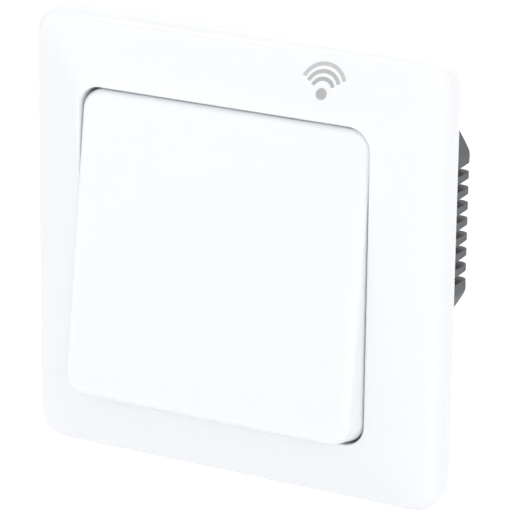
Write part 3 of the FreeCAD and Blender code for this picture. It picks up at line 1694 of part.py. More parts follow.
def main():
    build_cover_frame()
    build_signal_mark()
    build_rocker_cap()
    build_rocker_carrier()
    build_detent()
    build_base_frame()
    build_mounting_plate()
    build_plate_screws()
    build_claw_screws()
    build_claw("claw_right", 1)
    build_claw("claw_left", -1)
    build_rear_housing()
    build_housing_front()
    build_contacts()
    build_board("control_board", control_back)
    build_board("power_board", dim.power_board_back)
    build_spacers()
    build_radio()
    build_relay()
    build_transformer()
    build_rear_parts()
    build_terminals()


main()
doc.recompute()
for item in doc.Objects:
    if "Invalid" in item.State or "Error" in item.State:
        raise RuntimeError("%s failed: %s" % (item.Name, item.State))
for item in pieces:
    if item.Shape.isNull() or not item.Shape.isValid():
        raise RuntimeError(item.Label + " has no valid shape")
os.makedirs("parts", exist_ok=True)
for item in pieces:
    item.Shape.exportStep(os.path.join("parts", item.Label + ".step"))
    print("%-18s %2d solids, %9.1f mm3" % (item.Label, len(item.Shape.Solids), item.Shape.Volume))
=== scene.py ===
"""Looks of a flush wall switch: gloss white front, grey radio mark, dark insert, steel and brass."""

import math

import bmesh
import bpy
from bpy.props import FloatProperty, FloatVectorProperty, IntProperty, PointerProperty
from mathutils import Matrix, Vector
from mathutils.geometry import delaunay_2d_cdt


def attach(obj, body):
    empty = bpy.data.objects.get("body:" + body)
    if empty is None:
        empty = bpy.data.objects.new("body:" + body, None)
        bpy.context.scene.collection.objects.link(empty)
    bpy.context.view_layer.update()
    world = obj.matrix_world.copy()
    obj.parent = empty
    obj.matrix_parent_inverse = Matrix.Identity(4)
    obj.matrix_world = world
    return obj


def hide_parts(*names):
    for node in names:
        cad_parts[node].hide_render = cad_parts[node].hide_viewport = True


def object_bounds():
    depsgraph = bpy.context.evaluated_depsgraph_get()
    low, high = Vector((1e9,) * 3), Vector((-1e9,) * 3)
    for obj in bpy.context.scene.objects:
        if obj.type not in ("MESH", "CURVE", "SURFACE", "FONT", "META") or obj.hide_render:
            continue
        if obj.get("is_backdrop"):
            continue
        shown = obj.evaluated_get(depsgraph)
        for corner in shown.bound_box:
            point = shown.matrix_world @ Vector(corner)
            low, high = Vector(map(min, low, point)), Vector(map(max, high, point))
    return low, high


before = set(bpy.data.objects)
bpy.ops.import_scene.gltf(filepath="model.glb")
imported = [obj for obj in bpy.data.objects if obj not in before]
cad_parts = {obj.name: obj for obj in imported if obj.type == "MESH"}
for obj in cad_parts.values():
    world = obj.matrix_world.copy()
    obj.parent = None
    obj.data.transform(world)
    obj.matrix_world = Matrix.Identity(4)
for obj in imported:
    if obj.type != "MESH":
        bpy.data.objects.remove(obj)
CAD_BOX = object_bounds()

bl_info = {
    "name": "Wall switch looks",
    "version": (1, 0, 0),
    "blender": (4, 5, 0),
    "location": "View3D > Sidebar > Switch",
    "description": "Materials, fine parts, lights and camera of a flush wall switch",
    "category": "Object",
}

MM = 0.001
IMAGE_SIDE = 512
SENSOR = 36.0

# Closer than this, two points are one, a point lies on a cut, or a point lies in a face's plane

WELD = 0.001 * MM
ON_CUT = 0.0001 * MM
IN_PLANE = 0.002 * MM

# The same for the slope's filling, in millimetres, and its way: only inside the outermost outline

FILL_GAP = 0.00001
FILL_INSIDE = 1

# Normals: how far a slope's may turn aside, how much it looks forwards and up, and two cosines

ASIDE = 0.001
FORWARDS = -0.5
UPWARDS = 0.2
SAME_WAY = 0.999
ROUGHLY_UP = 0.9

SHARP_EDGE = math.radians(40)

# Heights and radii of the screws, as the solids have them, and the turn from each to the next

HEAD_HEIGHTS = {"plate_screws": 1.3 * MM, "claw_screws": 1.2 * MM, "terminal_screws": 1.4 * MM}
SHANK_RADII = {"plate_screws": 1.25 * MM, "claw_screws": 1.5 * MM, "terminal_screws": 1.3 * MM}
SCREW_TURN = math.radians(37)

# One turn of a thread, as steps in and out and shares of the pitch: root, crest and root again

THREAD_OUTLINE = ((0, 0.0), (0, 0.15), (1, 0.5), (1, 0.6), (0, 0.95), (0, 1.0))

# The mark's recess in the solid: its greatest depth, its least height above the slope's foot, and
# its reach to either side in arc steps

RECESS_DEPTH = 0.5 * MM
RECESS_FOOT = 0.1 * MM
RECESS_REACH = 7

# The mark's arcs by number, with the tones of a painted sheen against the innermost, and the frame's
# finishes

ARC_SHEEN_TONES = {1: 1.0, 2: 1.09, 3: 1.23}
MARK_FINISHES = ("gloss_white", "arc_grey_1", "arc_grey_2", "arc_grey_3", "dot_grey")
DOT_FIELD = MARK_FINISHES.index("dot_grey")

# Where most of a noise's values lie, and where the share of open sky lies on the housing, whose
# slots get painted shade

NOISE_RANGE = (0.3, 0.7)
SKY_RANGE = (0.2, 0.85)

# Light in the materials: depth of the glow, how far a slot's walls reach for the shade painted into
# it, and a plain sheen

GLOW_DEPTH = 1.2 * MM
PAINTED_SHADE_REACH = 15 * MM
SHEEN = 0.5

# Lamps by their setting: side of the square, azimuth and elevation in degrees, and distance

LAMPS = {
    "front": (0.35, 34.0, 22.0, 1.0),
    "right": (0.5, 82.0, 15.0, 0.9),
    "left": (0.6, -40.0, 10.0, 1.0),
    "rear": (0.6, 190.0, 45.0, 1.0),
    "small": (0.05, -49.0, 53.0, 1.0),
}

# Floor and surround: what the camera sees, and what lights the part

FLOOR_SIZE = 6.0
FLOOR_SEEN = (1.12, 1.12, 1.12)
FLOOR_LIT = (0.86, 0.87, 0.88)
SKY_SEEN = (1.0, 1.0, 1.0)
SKY_TINT = (0.995, 1.0, 1.01)

# Settings that a user would change


class CameraPlace(bpy.types.PropertyGroup):
    """Where the camera stands, in degrees and metres round the part's origin."""

    azimuth: FloatProperty(name="Azimuth", description="Turn round Z, from the front", default=28.16)
    elevation: FloatProperty(name="Elevation", description="Angle above the horizon", default=18.03)
    roll: FloatProperty(name="Roll", description="Turn about the line of sight", default=0.83)
    distance: FloatProperty(
        name="Distance", description="From the part's origin", default=0.596, unit="LENGTH"
    )
    aside: FloatProperty(
        name="Aside", description="Move to the right", default=0.00635, unit="LENGTH"
    )
    above: FloatProperty(name="Above", description="Move upwards", default=-0.00181, unit="LENGTH")
    focal_pixels: FloatProperty(
        name="Focal length", description="Focal length in image pixels", default=3434.0
    )
    axis_x: FloatProperty(
        name="Axis across", description="Pixel that the line of sight meets", default=283.0
    )
    axis_y: FloatProperty(
        name="Axis down", description="Pixel that the line of sight meets", default=262.0
    )


class LightLevels(bpy.types.PropertyGroup):
    """How bright the studio is."""

    surround: FloatProperty(name="Surround", description="Strength of the world", default=0.77)
    front: FloatProperty(
        name="Front", description="Large soft lamp beside the camera", default=1.6, unit="POWER"
    )
    right: FloatProperty(
        name="Right", description="Soft lamp on the right", default=0.6, unit="POWER"
    )
    left: FloatProperty(
        name="Left", description="Weak soft lamp on the left", default=1.0, unit="POWER"
    )
    rear: FloatProperty(
        name="Rear", description="Soft lamp behind, above", default=2.4, unit="POWER"
    )
    small: FloatProperty(
        name="Small", description="Small hard lamp above on the left", default=0.3, unit="POWER"
    )
    floor_drop: FloatProperty(
        name="Floor drop", description="Floor below the part", default=0.07, unit="LENGTH"
    )


def colour_property(name, description, default):
    return FloatVectorProperty(
        name=name, description=description, default=default, subtype="COLOR", size=3, min=0, max=1
    )


class SwitchColours(bpy.types.PropertyGroup):
    """Base colours of the finishes, linear."""

    white: colour_property("White", "Frame and rocker", (0.93, 0.95, 0.975))
    mark: colour_property("Mark", "Inner arc of the radio mark", (0.461, 0.460, 0.463))
    dot: colour_property("Dot", "Dot of the radio mark", (0.468, 0.467, 0.470))
    housing: colour_property("Housing", "Insert housing", (0.095, 0.098, 0.100))
    carrier: colour_property("Carrier", "Hidden light plastic", (0.62, 0.63, 0.62))
    terminal: colour_property("Terminal", "Terminal block", (0.26, 0.27, 0.28))
    black: colour_property("Black", "Small black mouldings", (0.022, 0.022, 0.024))
    zinc: colour_property("Zinc", "Plated steel", (0.40, 0.41, 0.42))
    brass: colour_property("Brass", "Contacts and clamps", (0.72, 0.50, 0.22))
    board: colour_property("Board", "Solder resist", (0.012, 0.12, 0.045))
    ferrite: colour_property("Ferrite", "Transformer core", (0.035, 0.035, 0.037))
    tape: colour_property("Tape", "Tape round the windings", (0.62, 0.40, 0.03))
    sleeve: colour_property("Sleeve", "Sleeves of the capacitors", (0.015, 0.02, 0.07))
    ceramic: colour_property("Ceramic", "Tube of the fuse", (0.72, 0.68, 0.60))
    spring: colour_property("Spring", "Spring and pin", (0.46, 0.46, 0.47))
    tin: colour_property("Tin", "Shield and fuse caps", (0.70, 0.70, 0.69))
    copper: colour_property("Copper", "Enamelled wire", (0.62, 0.24, 0.10))


class ScrewSizes(bpy.types.PropertyGroup):
    """Fine sizes of the screws, as shares of their shank and head where a share is natural."""

    steps: IntProperty(name="Steps", description="Faces round a screw", default=32, min=8)
    machine_pitch: FloatProperty(
        name="Machine pitch", description="Claw and terminal screws", default=0.5 * MM, unit="LENGTH"
    )
    tapping_pitch: FloatProperty(
        name="Tapping pitch", description="Screws that cut into plastic", default=1.0 * MM,
        unit="LENGTH",
    )
    thread_depth: FloatProperty(
        name="Thread depth", description="Crest to root, as a share of the pitch", default=0.55,
        min=0.1, max=0.8,
    )
    head_round: FloatProperty(
        name="Head round", description="Round on the head's rim", default=0.3 * MM, unit="LENGTH"
    )
    slot_width: FloatProperty(
        name="Slot width", description="Slot for the screwdriver", default=0.75 * MM, unit="LENGTH"
    )
    slot_depth: FloatProperty(
        name="Slot depth", description="As a share of the head's height", default=0.55,
        min=0.2, max=0.8,
    )
    cross_reach: FloatProperty(
        name="Cross reach", description="Arm of the cross, as a share of the head's radius",
        default=0.56, min=0.3, max=0.8,
    )
    cross_depth: FloatProperty(
        name="Cross depth", description="As a multiple of the slot's depth", default=1.3
    )
    cross_floor: FloatProperty(
        name="Cross floor", description="Size of the cross at its foot, as a share", default=0.62
    )
    tip_length: FloatProperty(
        name="Tip length", description="As a share of the shank's radius", default=0.3
    )
    tip_end: FloatProperty(
        name="Tip end", description="Radius of the blunt end, as a share of the shank's", default=0.6
    )


class MarkSizes(bpy.types.PropertyGroup):
    """The radio mark on the frame's top slope, measured on the slope from its lower edge."""

    across: FloatProperty(
        name="Across", description="From the middle", default=18.12 * MM, unit="LENGTH"
    )
    up: FloatProperty(
        name="Up", description="Middle of the dot, up the slope", default=4.38 * MM, unit="LENGTH"
    )
    dot_radius: FloatProperty(
        name="Dot radius", description="Radius of the dot", default=1.0 * MM, unit="LENGTH"
    )
    arc_step: FloatProperty(
        name="Arc step", description="From one arc's radius to the next", default=1.012 * MM,
        unit="LENGTH",
    )
    arc_lift: FloatProperty(
        name="Arc lift", description="How far an arc's centre lies above the dot's, per radius",
        default=0.28,
    )
    stroke: FloatProperty(
        name="Stroke", description="Width of an arc", default=0.71 * MM, unit="LENGTH"
    )
    half_angle: FloatProperty(
        name="Half angle", description="Half of an arc's sweep", default=math.radians(68),
        subtype="ANGLE",
    )
    dot_rise: FloatProperty(
        name="Dot rise", description="How far the dot's dome stands up", default=0.35 * MM,
        unit="LENGTH",
    )
    steps: IntProperty(
        name="Steps", description="Sides of the dot, and of an arc's sweep", default=36, min=12
    )
    dot_rings: IntProperty(
        name="Dot rings", description="Rings of the dot's dome", default=5, min=2
    )


SETTINGS = {
    "switch_camera": CameraPlace,
    "switch_lights": LightLevels,
    "switch_colours": SwitchColours,
    "switch_screws": ScrewSizes,
    "switch_mark": MarkSizes,
}


# Node helpers


def new_group(name, inputs, outputs):
    """An empty shader group with float sockets, and its two end nodes."""
    group = bpy.data.node_groups.new(name, "ShaderNodeTree")
    for label, default in inputs.items():
        socket = group.interface.new_socket(label, in_out="INPUT", socket_type="NodeSocketFloat")
        socket.default_value = default
    for label in outputs:
        group.interface.new_socket(label, in_out="OUTPUT", socket_type="NodeSocketFloat")
    source = group.nodes.new("NodeGroupInput")
    target = group.nodes.new("NodeGroupOutput")
    return group, source, target


def add_node(tree, kind, **settings):
    """A node whose settings are attributes, or socket values where the name is a socket's."""
    node = tree.nodes.new(kind)
    for key, value in settings.items():
        if hasattr(node, key):
            setattr(node, key, value)
        else:
            node.inputs[key.replace("_", " ").title()].default_value = value
    return node


def remap(tree, value, low, high, start, end):
    """Spreads the values from start to end over low to high."""
    node = tree.nodes.new("ShaderNodeMapRange")
    for label, number in (("From Min", start), ("From Max", end), ("To Min", low), ("To Max", high)):
        node.inputs[label].default_value = number
    tree.links.new(value, node.inputs["Value"])
    return node.outputs["Result"]


def texture(tree, kind, place, scale, **settings):
    """A texture at a place, whose scale comes from a socket."""
    node = add_node(tree, kind, **settings)
    tree.links.new(place, node.inputs["Vector"])
    tree.links.new(scale, node.inputs["Scale"])
    return node


def object_place(tree):
    return tree.nodes.new("ShaderNodeTexCoord").outputs["Object"]


def product(tree, first, second):
    node = add_node(tree, "ShaderNodeMath", operation="MULTIPLY")
    for index, value in enumerate((first, second)):
        if hasattr(value, "is_linked"):
            tree.links.new(value, node.inputs[index])
        else:
            node.inputs[index].default_value = value
    return node.outputs[0]


def total(tree, first, second):
    node = add_node(tree, "ShaderNodeMath", operation="ADD")
    tree.links.new(first, node.inputs[0])
    tree.links.new(second, node.inputs[1])
    return node.outputs[0]


def build_mould_grain(pit_share=0.6):
    """Moulded plastic: a fine pitted grain, and a slow mottle left by the melt."""
    group, source, target = new_group(
        "mould_grain", {"Grain": 2500.0, "Flow": 60.0}, ("Height", "Mottle")
    )
    place = object_place(group)
    fine = texture(group, "ShaderNodeTexNoise", place, source.outputs["Grain"], detail=2.0)
    cells = texture(group, "ShaderNodeTexVoronoi", place, source.outputs["Grain"])
    slow = texture(group, "ShaderNodeTexNoise", place, source.outputs["Flow"], detail=4.0)
    pits = product(group, cells.outputs["Distance"], pit_share)
    group.links.new(total(group, fine.outputs["Fac"], pits), target.inputs["Height"])
    group.links.new(slow.outputs["Fac"], target.inputs["Mottle"])


def build_drawn_lines(line_share=0.4):
    """Rolled or drawn metal: long fine scratches along one axis over a cloudy plate."""
    group, source, target = new_group(
        "drawn_lines", {"Across": 4000.0, "Along": 60.0, "Cloud": 180.0}, ("Height", "Shade")
    )
    place = object_place(group)
    stretch = group.nodes.new("ShaderNodeCombineXYZ")
    for axis, label in (("X", "Across"), ("Y", "Across"), ("Z", "Along")):
        group.links.new(source.outputs[label], stretch.inputs[axis])
    scaled = add_node(group, "ShaderNodeVectorMath", operation="MULTIPLY")
    group.links.new(place, scaled.inputs[0])
    group.links.new(stretch.outputs["Vector"], scaled.inputs[1])
    lines = add_node(group, "ShaderNodeTexNoise", scale=1.0, detail=2.0)
    group.links.new(scaled.outputs["Vector"], lines.inputs["Vector"])
    cloud = texture(group, "ShaderNodeTexNoise", place, source.outputs["Cloud"], detail=5.0)
    group.links.new(lines.outputs["Fac"], target.inputs["Height"])
    lined = product(group, lines.outputs["Fac"], line_share)
    mixed = total(group, lined, product(group, cloud.outputs["Fac"], 1 - line_share))
    group.links.new(mixed, target.inputs["Shade"])


def build_plate_spangle():
    """Zinc plating: faint crystal flakes that differ a little in brightness."""
    group, source, target = new_group("plate_spangle", {"Flakes": 420.0}, ("Shade",))
    place = object_place(group)
    flakes = texture(group, "ShaderNodeTexVoronoi", place, source.outputs["Flakes"])
    split = group.nodes.new("ShaderNodeSeparateColor")
    group.links.new(flakes.outputs["Color"], split.inputs["Color"])
    group.links.new(split.outputs[0], target.inputs["Shade"])


# Materials


def new_material(name):
    material = bpy.data.materials.new(name)
    material.use_nodes = True
    tree = material.node_tree
    shader = tree.nodes["Principled BSDF"]
    return material, tree, shader


def place_group(tree, name, **values):
    node = tree.nodes.new("ShaderNodeGroup")
    node.node_tree = bpy.data.node_groups[name]
    for label, value in values.items():
        node.inputs[label.title()].default_value = value
    return node


def mix_colours(tree, factor, first, second):
    """Goes from the first colour to the second as the factor rises from 0 to 1."""
    mix = add_node(tree, "ShaderNodeMix", data_type="RGBA")
    colours = [socket for socket in mix.inputs if socket.type == "RGBA"]
    colours[0].default_value = (*first, 1)
    colours[1].default_value = (*second, 1)
    tree.links.new(factor, mix.inputs["Factor"])
    return next(socket for socket in mix.outputs if socket.type == "RGBA")


def shade_of(tree, colour, mask, spread):
    """A base colour that brightens and darkens by a share of itself with the mask."""
    low = [channel * (1 - spread) for channel in colour]
    high = [min(channel * (1 + spread), 1.0) for channel in colour]
    return mix_colours(tree, mask, low, high)


def connect_bump(tree, shader, height, depth):
    bump = add_node(tree, "ShaderNodeBump", distance=depth, strength=1.0)
    tree.links.new(height, bump.inputs["Height"])
    tree.links.new(bump.outputs["Normal"], shader.inputs["Normal"])


def paint_slot_shade(tree, shader, base, share):
    """Paints shade into narrow and covered places by taking colour and sheen off them, and gives the
    shaded colour.
    """
    cover = add_node(tree, "ShaderNodeAmbientOcclusion", samples=8, distance=PAINTED_SHADE_REACH)
    shade = add_node(tree, "ShaderNodeVectorMath", operation="SCALE")
    tree.links.new(base, shade.inputs[0])
    mask = remap(tree, cover.outputs["AO"], 1 - share, 1.0, *SKY_RANGE)
    tree.links.new(mask, shade.inputs["Scale"])
    tree.links.new(product(tree, mask, SHEEN), shader.inputs["Specular IOR Level"])
    return shade.outputs["Vector"]


def plastic(
    name, colour, roughness, grain, spread, depth=0.01 * MM, flow=60.0, spread_rough=0.04,
    glow=0.0, slot_shade=0.0,
):
    """Moulded plastic, from gloss to a spark-eroded matt; grain and flow are noise scales."""
    material, tree, shader = new_material(name)
    skin = place_group(tree, "mould_grain", grain=grain, flow=flow)
    base = shade_of(tree, colour, skin.outputs["Mottle"], spread)
    # Painted shade: colour and sheen darken where other parts cover the surface
    if slot_shade:
        base = paint_slot_shade(tree, shader, base, slot_shade)
    tree.links.new(base, shader.inputs["Base Color"])
    ends = (roughness - spread_rough, roughness + spread_rough)
    rough = remap(tree, skin.outputs["Mottle"], *ends, *NOISE_RANGE)
    tree.links.new(rough, shader.inputs["Roughness"])
    connect_bump(tree, shader, skin.outputs["Height"], depth)
    shader.inputs["Subsurface Weight"].default_value = glow
    shader.inputs["Subsurface Radius"].default_value = (1.0, 1.0, 1.0)
    shader.inputs["Subsurface Scale"].default_value = GLOW_DEPTH
    return material


def metal(name, colour, roughness, along=60.0, spread=0.10, spread_rough=0.07, flaked=0.25):
    """Drawn, rolled or plated metal: lines, and a share of flakes in its shade."""
    material, tree, shader = new_material(name)
    lines = place_group(tree, "drawn_lines", across=4000.0, along=along)
    flakes = place_group(tree, "plate_spangle")
    lined = product(tree, lines.outputs["Shade"], 1 - flaked)
    mask = total(tree, lined, product(tree, flakes.outputs["Shade"], flaked))
    tree.links.new(shade_of(tree, colour, mask, spread), shader.inputs["Base Color"])
    ends = (roughness - spread_rough, roughness + spread_rough)
    tree.links.new(remap(tree, mask, *ends, *NOISE_RANGE), shader.inputs["Roughness"])
    shader.inputs["Metallic"].default_value = 1.0
    connect_bump(tree, shader, lines.outputs["Height"], 0.01 * MM)
    return material


def board_laminate(name, colour, roughness=0.3, spread=0.45, edges=(0.04, 0.12)):
    """Solder resist over copper tracks: the tracks show lighter and stand a little proud."""
    material, tree, shader = new_material(name)
    tracks = add_node(tree, "ShaderNodeTexVoronoi", feature="DISTANCE_TO_EDGE", scale=330.0)
    tree.links.new(object_place(tree), tracks.inputs["Vector"])
    mask = remap(tree, tracks.outputs["Distance"], 1.0, 0.0, *edges)
    tree.links.new(shade_of(tree, colour, mask, spread), shader.inputs["Base Color"])
    shader.inputs["Roughness"].default_value = roughness
    connect_bump(tree, shader, mask, 0.04 * MM)
    return material


def arc_finishes(colours):
    """The arcs of the mark: one printed grey, with a painted sheen that makes them lighter the
    further from the dot.
    """
    finishes = {}
    for number, painted_sheen in ARC_SHEEN_TONES.items():
        name = MARK_FINISHES[number]
        # Painted sheen: the one grey of the print, lightened step by step towards the outer arcs
        grey = [channel * painted_sheen for channel in colours.mark]
        finishes[name] = plastic(name, grey, 0.42, 3000.0, 0.10, flow=900.0, spread_rough=0.08)
    return finishes


def build_materials(colours):
    """Every finish of the object, by name: colour, roughness, grain and spread of the shade."""
    return arc_finishes(colours) | {
        "white": plastic(
            "gloss_white", colours.white, 0.24, 900.0, 0.004,
            depth=0.004 * MM, flow=30.0, spread_rough=0.03, glow=0.6,
        ),
        "dot": plastic("dot_grey", colours.dot, 0.22, 2000.0, 0.12, flow=900.0),
        # The dark housing, with painted shade in its slots and under the frame
        "housing": plastic(
            "eroded_dark", colours.housing, 0.52, 5000.0, 0.08,
            depth=0.03 * MM, flow=90.0, slot_shade=0.9,
        ),
        "carrier": plastic("satin_light", colours.carrier, 0.42, 3500.0, 0.03),
        "terminal": plastic("satin_grey", colours.terminal, 0.45, 3500.0, 0.05),
        "black": plastic("satin_black", colours.black, 0.38, 3500.0, 0.20),
        "ferrite": plastic("pressed_ferrite", colours.ferrite, 0.62, 6000.0, 0.30, depth=0.03 * MM),
        "tape": plastic("winding_tape", colours.tape, 0.32, 500.0, 0.06, depth=0.02 * MM),
        "sleeve": plastic("shrunk_sleeve", colours.sleeve, 0.28, 700.0, 0.10),
        "ceramic": plastic("fuse_ceramic", colours.ceramic, 0.35, 4000.0, 0.03),
        "zinc": metal("zinc_plate", colours.zinc, 0.34),
        "spring": metal("spring_steel", colours.spring, 0.28, along=900.0),
        "tin": metal("tinned_plate", colours.tin, 0.26),
        "brass": metal("plain_brass", colours.brass, 0.30),
        "copper": metal("enamelled_copper", colours.copper, 0.26, along=800.0),
        "board": board_laminate("board_laminate", colours.board),
    }


NODE_FINISH = {
    "white": ("cover_frame", "rocker_cap"),
    "arc_grey_1": ("signal_arcs",),
    "dot": ("signal_dot",),
    "housing": ("rear_housing", "housing_front"),
    "carrier": ("rocker_carrier", "base_frame"),
    "terminal": ("terminal_block",),
    "black": ("detent_plunger", "board_spacers", "relay", "board_header"),
    "ferrite": ("transformer_core",),
    "tape": ("transformer_winding",),
    "sleeve": ("capacitors",),
    "ceramic": ("fuse_tube",),
    "zinc": (
        "mounting_plate", "plate_screws", "claw_screws", "claw_right", "claw_left", "terminal_screws"
    ),
    "spring": ("detent_spring", "bridge_pin"),
    "tin": ("radio_shield", "fuse_caps"),
    "brass": ("contact_bridge", "bridge_bracket", "fixed_contacts", "terminal_clamps"),
    "copper": ("antenna", "choke"),
    "board": ("control_board", "power_board", "radio_module"),
}


def dress(piece, material):
    piece.data.materials.clear()
    piece.data.materials.append(material)


class SWITCH_OT_finishes(bpy.types.Operator):
    """Gives every carried piece its finish"""

    bl_idname = "wall_switch.finishes"
    bl_label = "Finishes"

    def execute(self, context):
        build_mould_grain()
        build_drawn_lines()
        build_plate_spangle()
        materials = build_materials(context.scene.switch_colours)
        for finish, nodes in NODE_FINISH.items():
            for node in nodes:
                dress(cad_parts[node], materials[finish])
        return {"FINISHED"}


# Mesh helpers


def merged_copy(node):
    """A welded copy of a CAD node's skin."""
    shape = bmesh.new()
    shape.from_mesh(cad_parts[node].data)
    bmesh.ops.remove_doubles(shape, verts=shape.verts, dist=WELD)
    return shape


def everything(shape):
    return shape.verts[:] + shape.edges[:] + shape.faces[:]


def open_rims(shape):
    return [edge for edge in shape.edges if edge.is_boundary]


def new_verts(made):
    """The vertices among what a mesh operation made."""
    return [item for item in made["geom"] if isinstance(item, bmesh.types.BMVert)]


def add_piece(context, name, mesh, finishes):
    """A new piece at the origin that rides on the insert."""
    piece = bpy.data.objects.new(name, mesh)
    context.scene.collection.objects.link(piece)
    for finish in finishes:
        mesh.materials.append(bpy.data.materials[finish])
    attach(piece, "insert")
    return piece


# Cover frame: the solid's own skin, with the radio mark let into its top slope


def find_top_slope(shape):
    """The top slope's normal and the middle of its lower edge."""
    facing_up = [
        face for face in shape.faces
        if abs(face.normal.x) < ASIDE and face.normal.y < FORWARDS and face.normal.z > UPWARDS
    ]
    normal = max(facing_up, key=lambda face: face.calc_area()).normal.copy()
    level = [face for face in facing_up if (face.normal - normal).length < 2 * ASIDE]
    lowest = min((vert.co for face in level for vert in face.verts), key=lambda place: place.z)
    return normal, Vector((0, lowest.y, lowest.z))


def clear_slope(shape, normal, foot, sizes):
    """Takes out the flat slope and the solid's recess of the mark; gives the rim that is left."""
    reach = RECESS_REACH * sizes.arc_step
    gone = []
    for face in shape.faces:
        places = [vert.co for vert in face.verts]
        heights = [(place - foot).dot(normal) for place in places]
        near = all(abs(place.x - sizes.across) < reach for place in places)
        above = all(place.z > foot.z + RECESS_FOOT for place in places)
        sunk = max(heights) < IN_PLANE and min(heights) > -RECESS_DEPTH
        if max(map(abs, heights)) < IN_PLANE or (near and above and sunk):
            gone.append(face)
    bmesh.ops.delete(shape, geom=gone, context="FACES")
    return open_rims(shape)


def arc_circle(sizes, number):
    """An arc's radius and its centre, from the dot's middle."""
    radius = (number + 1) * sizes.arc_step
    return radius, Vector((0, sizes.arc_lift * radius))


def arc_outline(sizes, number):
    """An arc of the mark as a closed outline, out along one side and back along the other."""
    radius, centre = arc_circle(sizes, number)
    points = []
    for side in (1, -1):
        reach = radius + side * sizes.stroke / 2
        for step in range(sizes.steps + 1):
            angle = side * sizes.half_angle * (2 * step / sizes.steps - 1)
            points.append(centre + reach * Vector((math.sin(angle), math.cos(angle))))
    return points


def dot_outline(sizes):
    turns = [math.tau * step / sizes.steps for step in range(sizes.steps)]
    return [sizes.dot_radius * Vector((math.cos(turn), math.sin(turn))) for turn in turns]


def arc_at(sizes, point):
    """The number of the arc in which a point lies, from the dot's middle; 0 for none."""
    for number in ARC_SHEEN_TONES:
        radius, centre = arc_circle(sizes, number)
        spoke = point - centre
        in_stroke = abs(spoke.length - radius) < sizes.stroke / 2
        if in_stroke and spoke.y > spoke.length * math.cos(sizes.half_angle):
            return number
    return 0


def fill_slope(shape, rim, middle, right, up, sizes):
    """Closes the slope with flat fields, the arcs among them, and gives the dot's open rim."""
    known = list(dict.fromkeys(vert for edge in rim for vert in edge.verts))
    order = {vert: number for number, vert in enumerate(known)}
    spokes = [vert.co - middle for vert in known]
    places = [Vector((spoke.dot(right), spoke.dot(up))) for spoke in spokes]
    edges = [[order[vert] for vert in edge.verts] for edge in rim]
    for outline in (*(arc_outline(sizes, number) for number in ARC_SHEEN_TONES), dot_outline(sizes)):
        first = len(places)
        places.extend(outline)
        edges += [(first + n, first + (n + 1) % len(outline)) for n in range(len(outline))]
    in_mm = [place / MM for place in places]
    flat, _, faces, sources, _, _ = delaunay_2d_cdt(in_mm, edges, [], FILL_INSIDE, FILL_GAP)
    corners = []
    for place, source in zip(flat, sources):
        if source[0] < len(known):
            corners.append(known[source[0]])
        else:
            corners.append(shape.verts.new(middle + (right * place.x + up * place.y) * MM))
    for face in faces:
        centre = sum((flat[n] for n in face), Vector((0, 0))) * MM / len(face)
        if centre.length > sizes.dot_radius * math.cos(math.pi / sizes.steps):
            field = shape.faces.new([corners[n] for n in face])
            field.material_index = arc_at(sizes, centre)
    first_of_dot = len(places) - sizes.steps
    return [corner for corner, source in zip(corners, sources) if source[0] >= first_of_dot]


def add_dome(shape, ring, middle, normal, sizes):
    """The dot: a low dome on its own outline."""
    spokes = [vert.co - middle for vert in ring]
    top = shape.verts.new(middle + normal * sizes.dot_rise)
    lower = ring
    for number in range(1, sizes.dot_rings + 1):
        angle = number / sizes.dot_rings * math.pi / 2
        rise = normal * sizes.dot_rise * math.sin(angle)
        upper = [top] * len(ring)
        if number < sizes.dot_rings:
            upper = [shape.verts.new(middle + spoke * math.cos(angle) + rise) for spoke in spokes]
        for n in range(len(ring)):
            after = (n + 1) % len(ring)
            corners = dict.fromkeys([lower[n], lower[after], upper[after], upper[n]])
            field = shape.faces.new(list(corners))
            field.material_index = DOT_FIELD
            field.smooth = True
        lower = upper


def corners_of(mesh):
    """Each face corner of a mesh: its face, its place as a rounded key, and its normal."""
    for face in mesh.polygons:
        for corner in face.loop_indices:
            place = mesh.vertices[mesh.loops[corner].vertex_index].co
            key = tuple(round(value / IN_PLANE) for value in place)
            yield face, key, mesh.corner_normals[corner].vector.copy()


def carry_normals(mesh, source):
    """Gives a reworked skin the normals of the solid that it came from."""
    known = {}
    for face, key, normal in corners_of(source):
        known.setdefault(key, []).append((face.normal, normal))
    normals = []
    for face, key, normal in corners_of(mesh):
        if face.material_index != DOT_FIELD:
            normal = face.normal.copy()
        beside = [own for facing, own in known.get(key, ()) if facing.dot(face.normal) > SAME_WAY]
        normals.append((beside or [normal])[0])
    mesh.shade_smooth()
    mesh.normals_split_custom_set(normals)


def build_marked_frame(sizes):
    """The cover frame with three arcs and a dot, each its own field in the slope."""
    shape = merged_copy("cover_frame")
    normal, foot = find_top_slope(shape)
    rim = clear_slope(shape, normal, foot, sizes)
    right = Vector((1, 0, 0))
    up = normal.cross(right)
    middle = foot + right * sizes.across + up * sizes.up
    ring = fill_slope(shape, rim, middle, right, up, sizes)
    add_dome(shape, ring, middle, normal, sizes)
    bmesh.ops.recalc_face_normals(shape, faces=shape.faces)
    mesh = bpy.data.meshes.new("marked_cover_frame")
    shape.to_mesh(mesh)
    shape.free()
    carry_normals(mesh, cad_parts["cover_frame"].data)
    return mesh


class SWITCH_OT_marked_frame(bpy.types.Operator):
    """Lets the radio mark into the cover frame's top slope"""

    bl_idname = "wall_switch.marked_frame"
    bl_label = "Marked frame"

    def execute(self, context):
        mesh = build_marked_frame(context.scene.switch_mark)
        piece = add_piece(context, "marked_cover_frame", mesh, MARK_FINISHES)
        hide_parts("cover_frame", "signal_arcs", "signal_dot")
        return {"FINISHED"}


# Screws: a cheese head with a slot and a cross, and a rolled thread


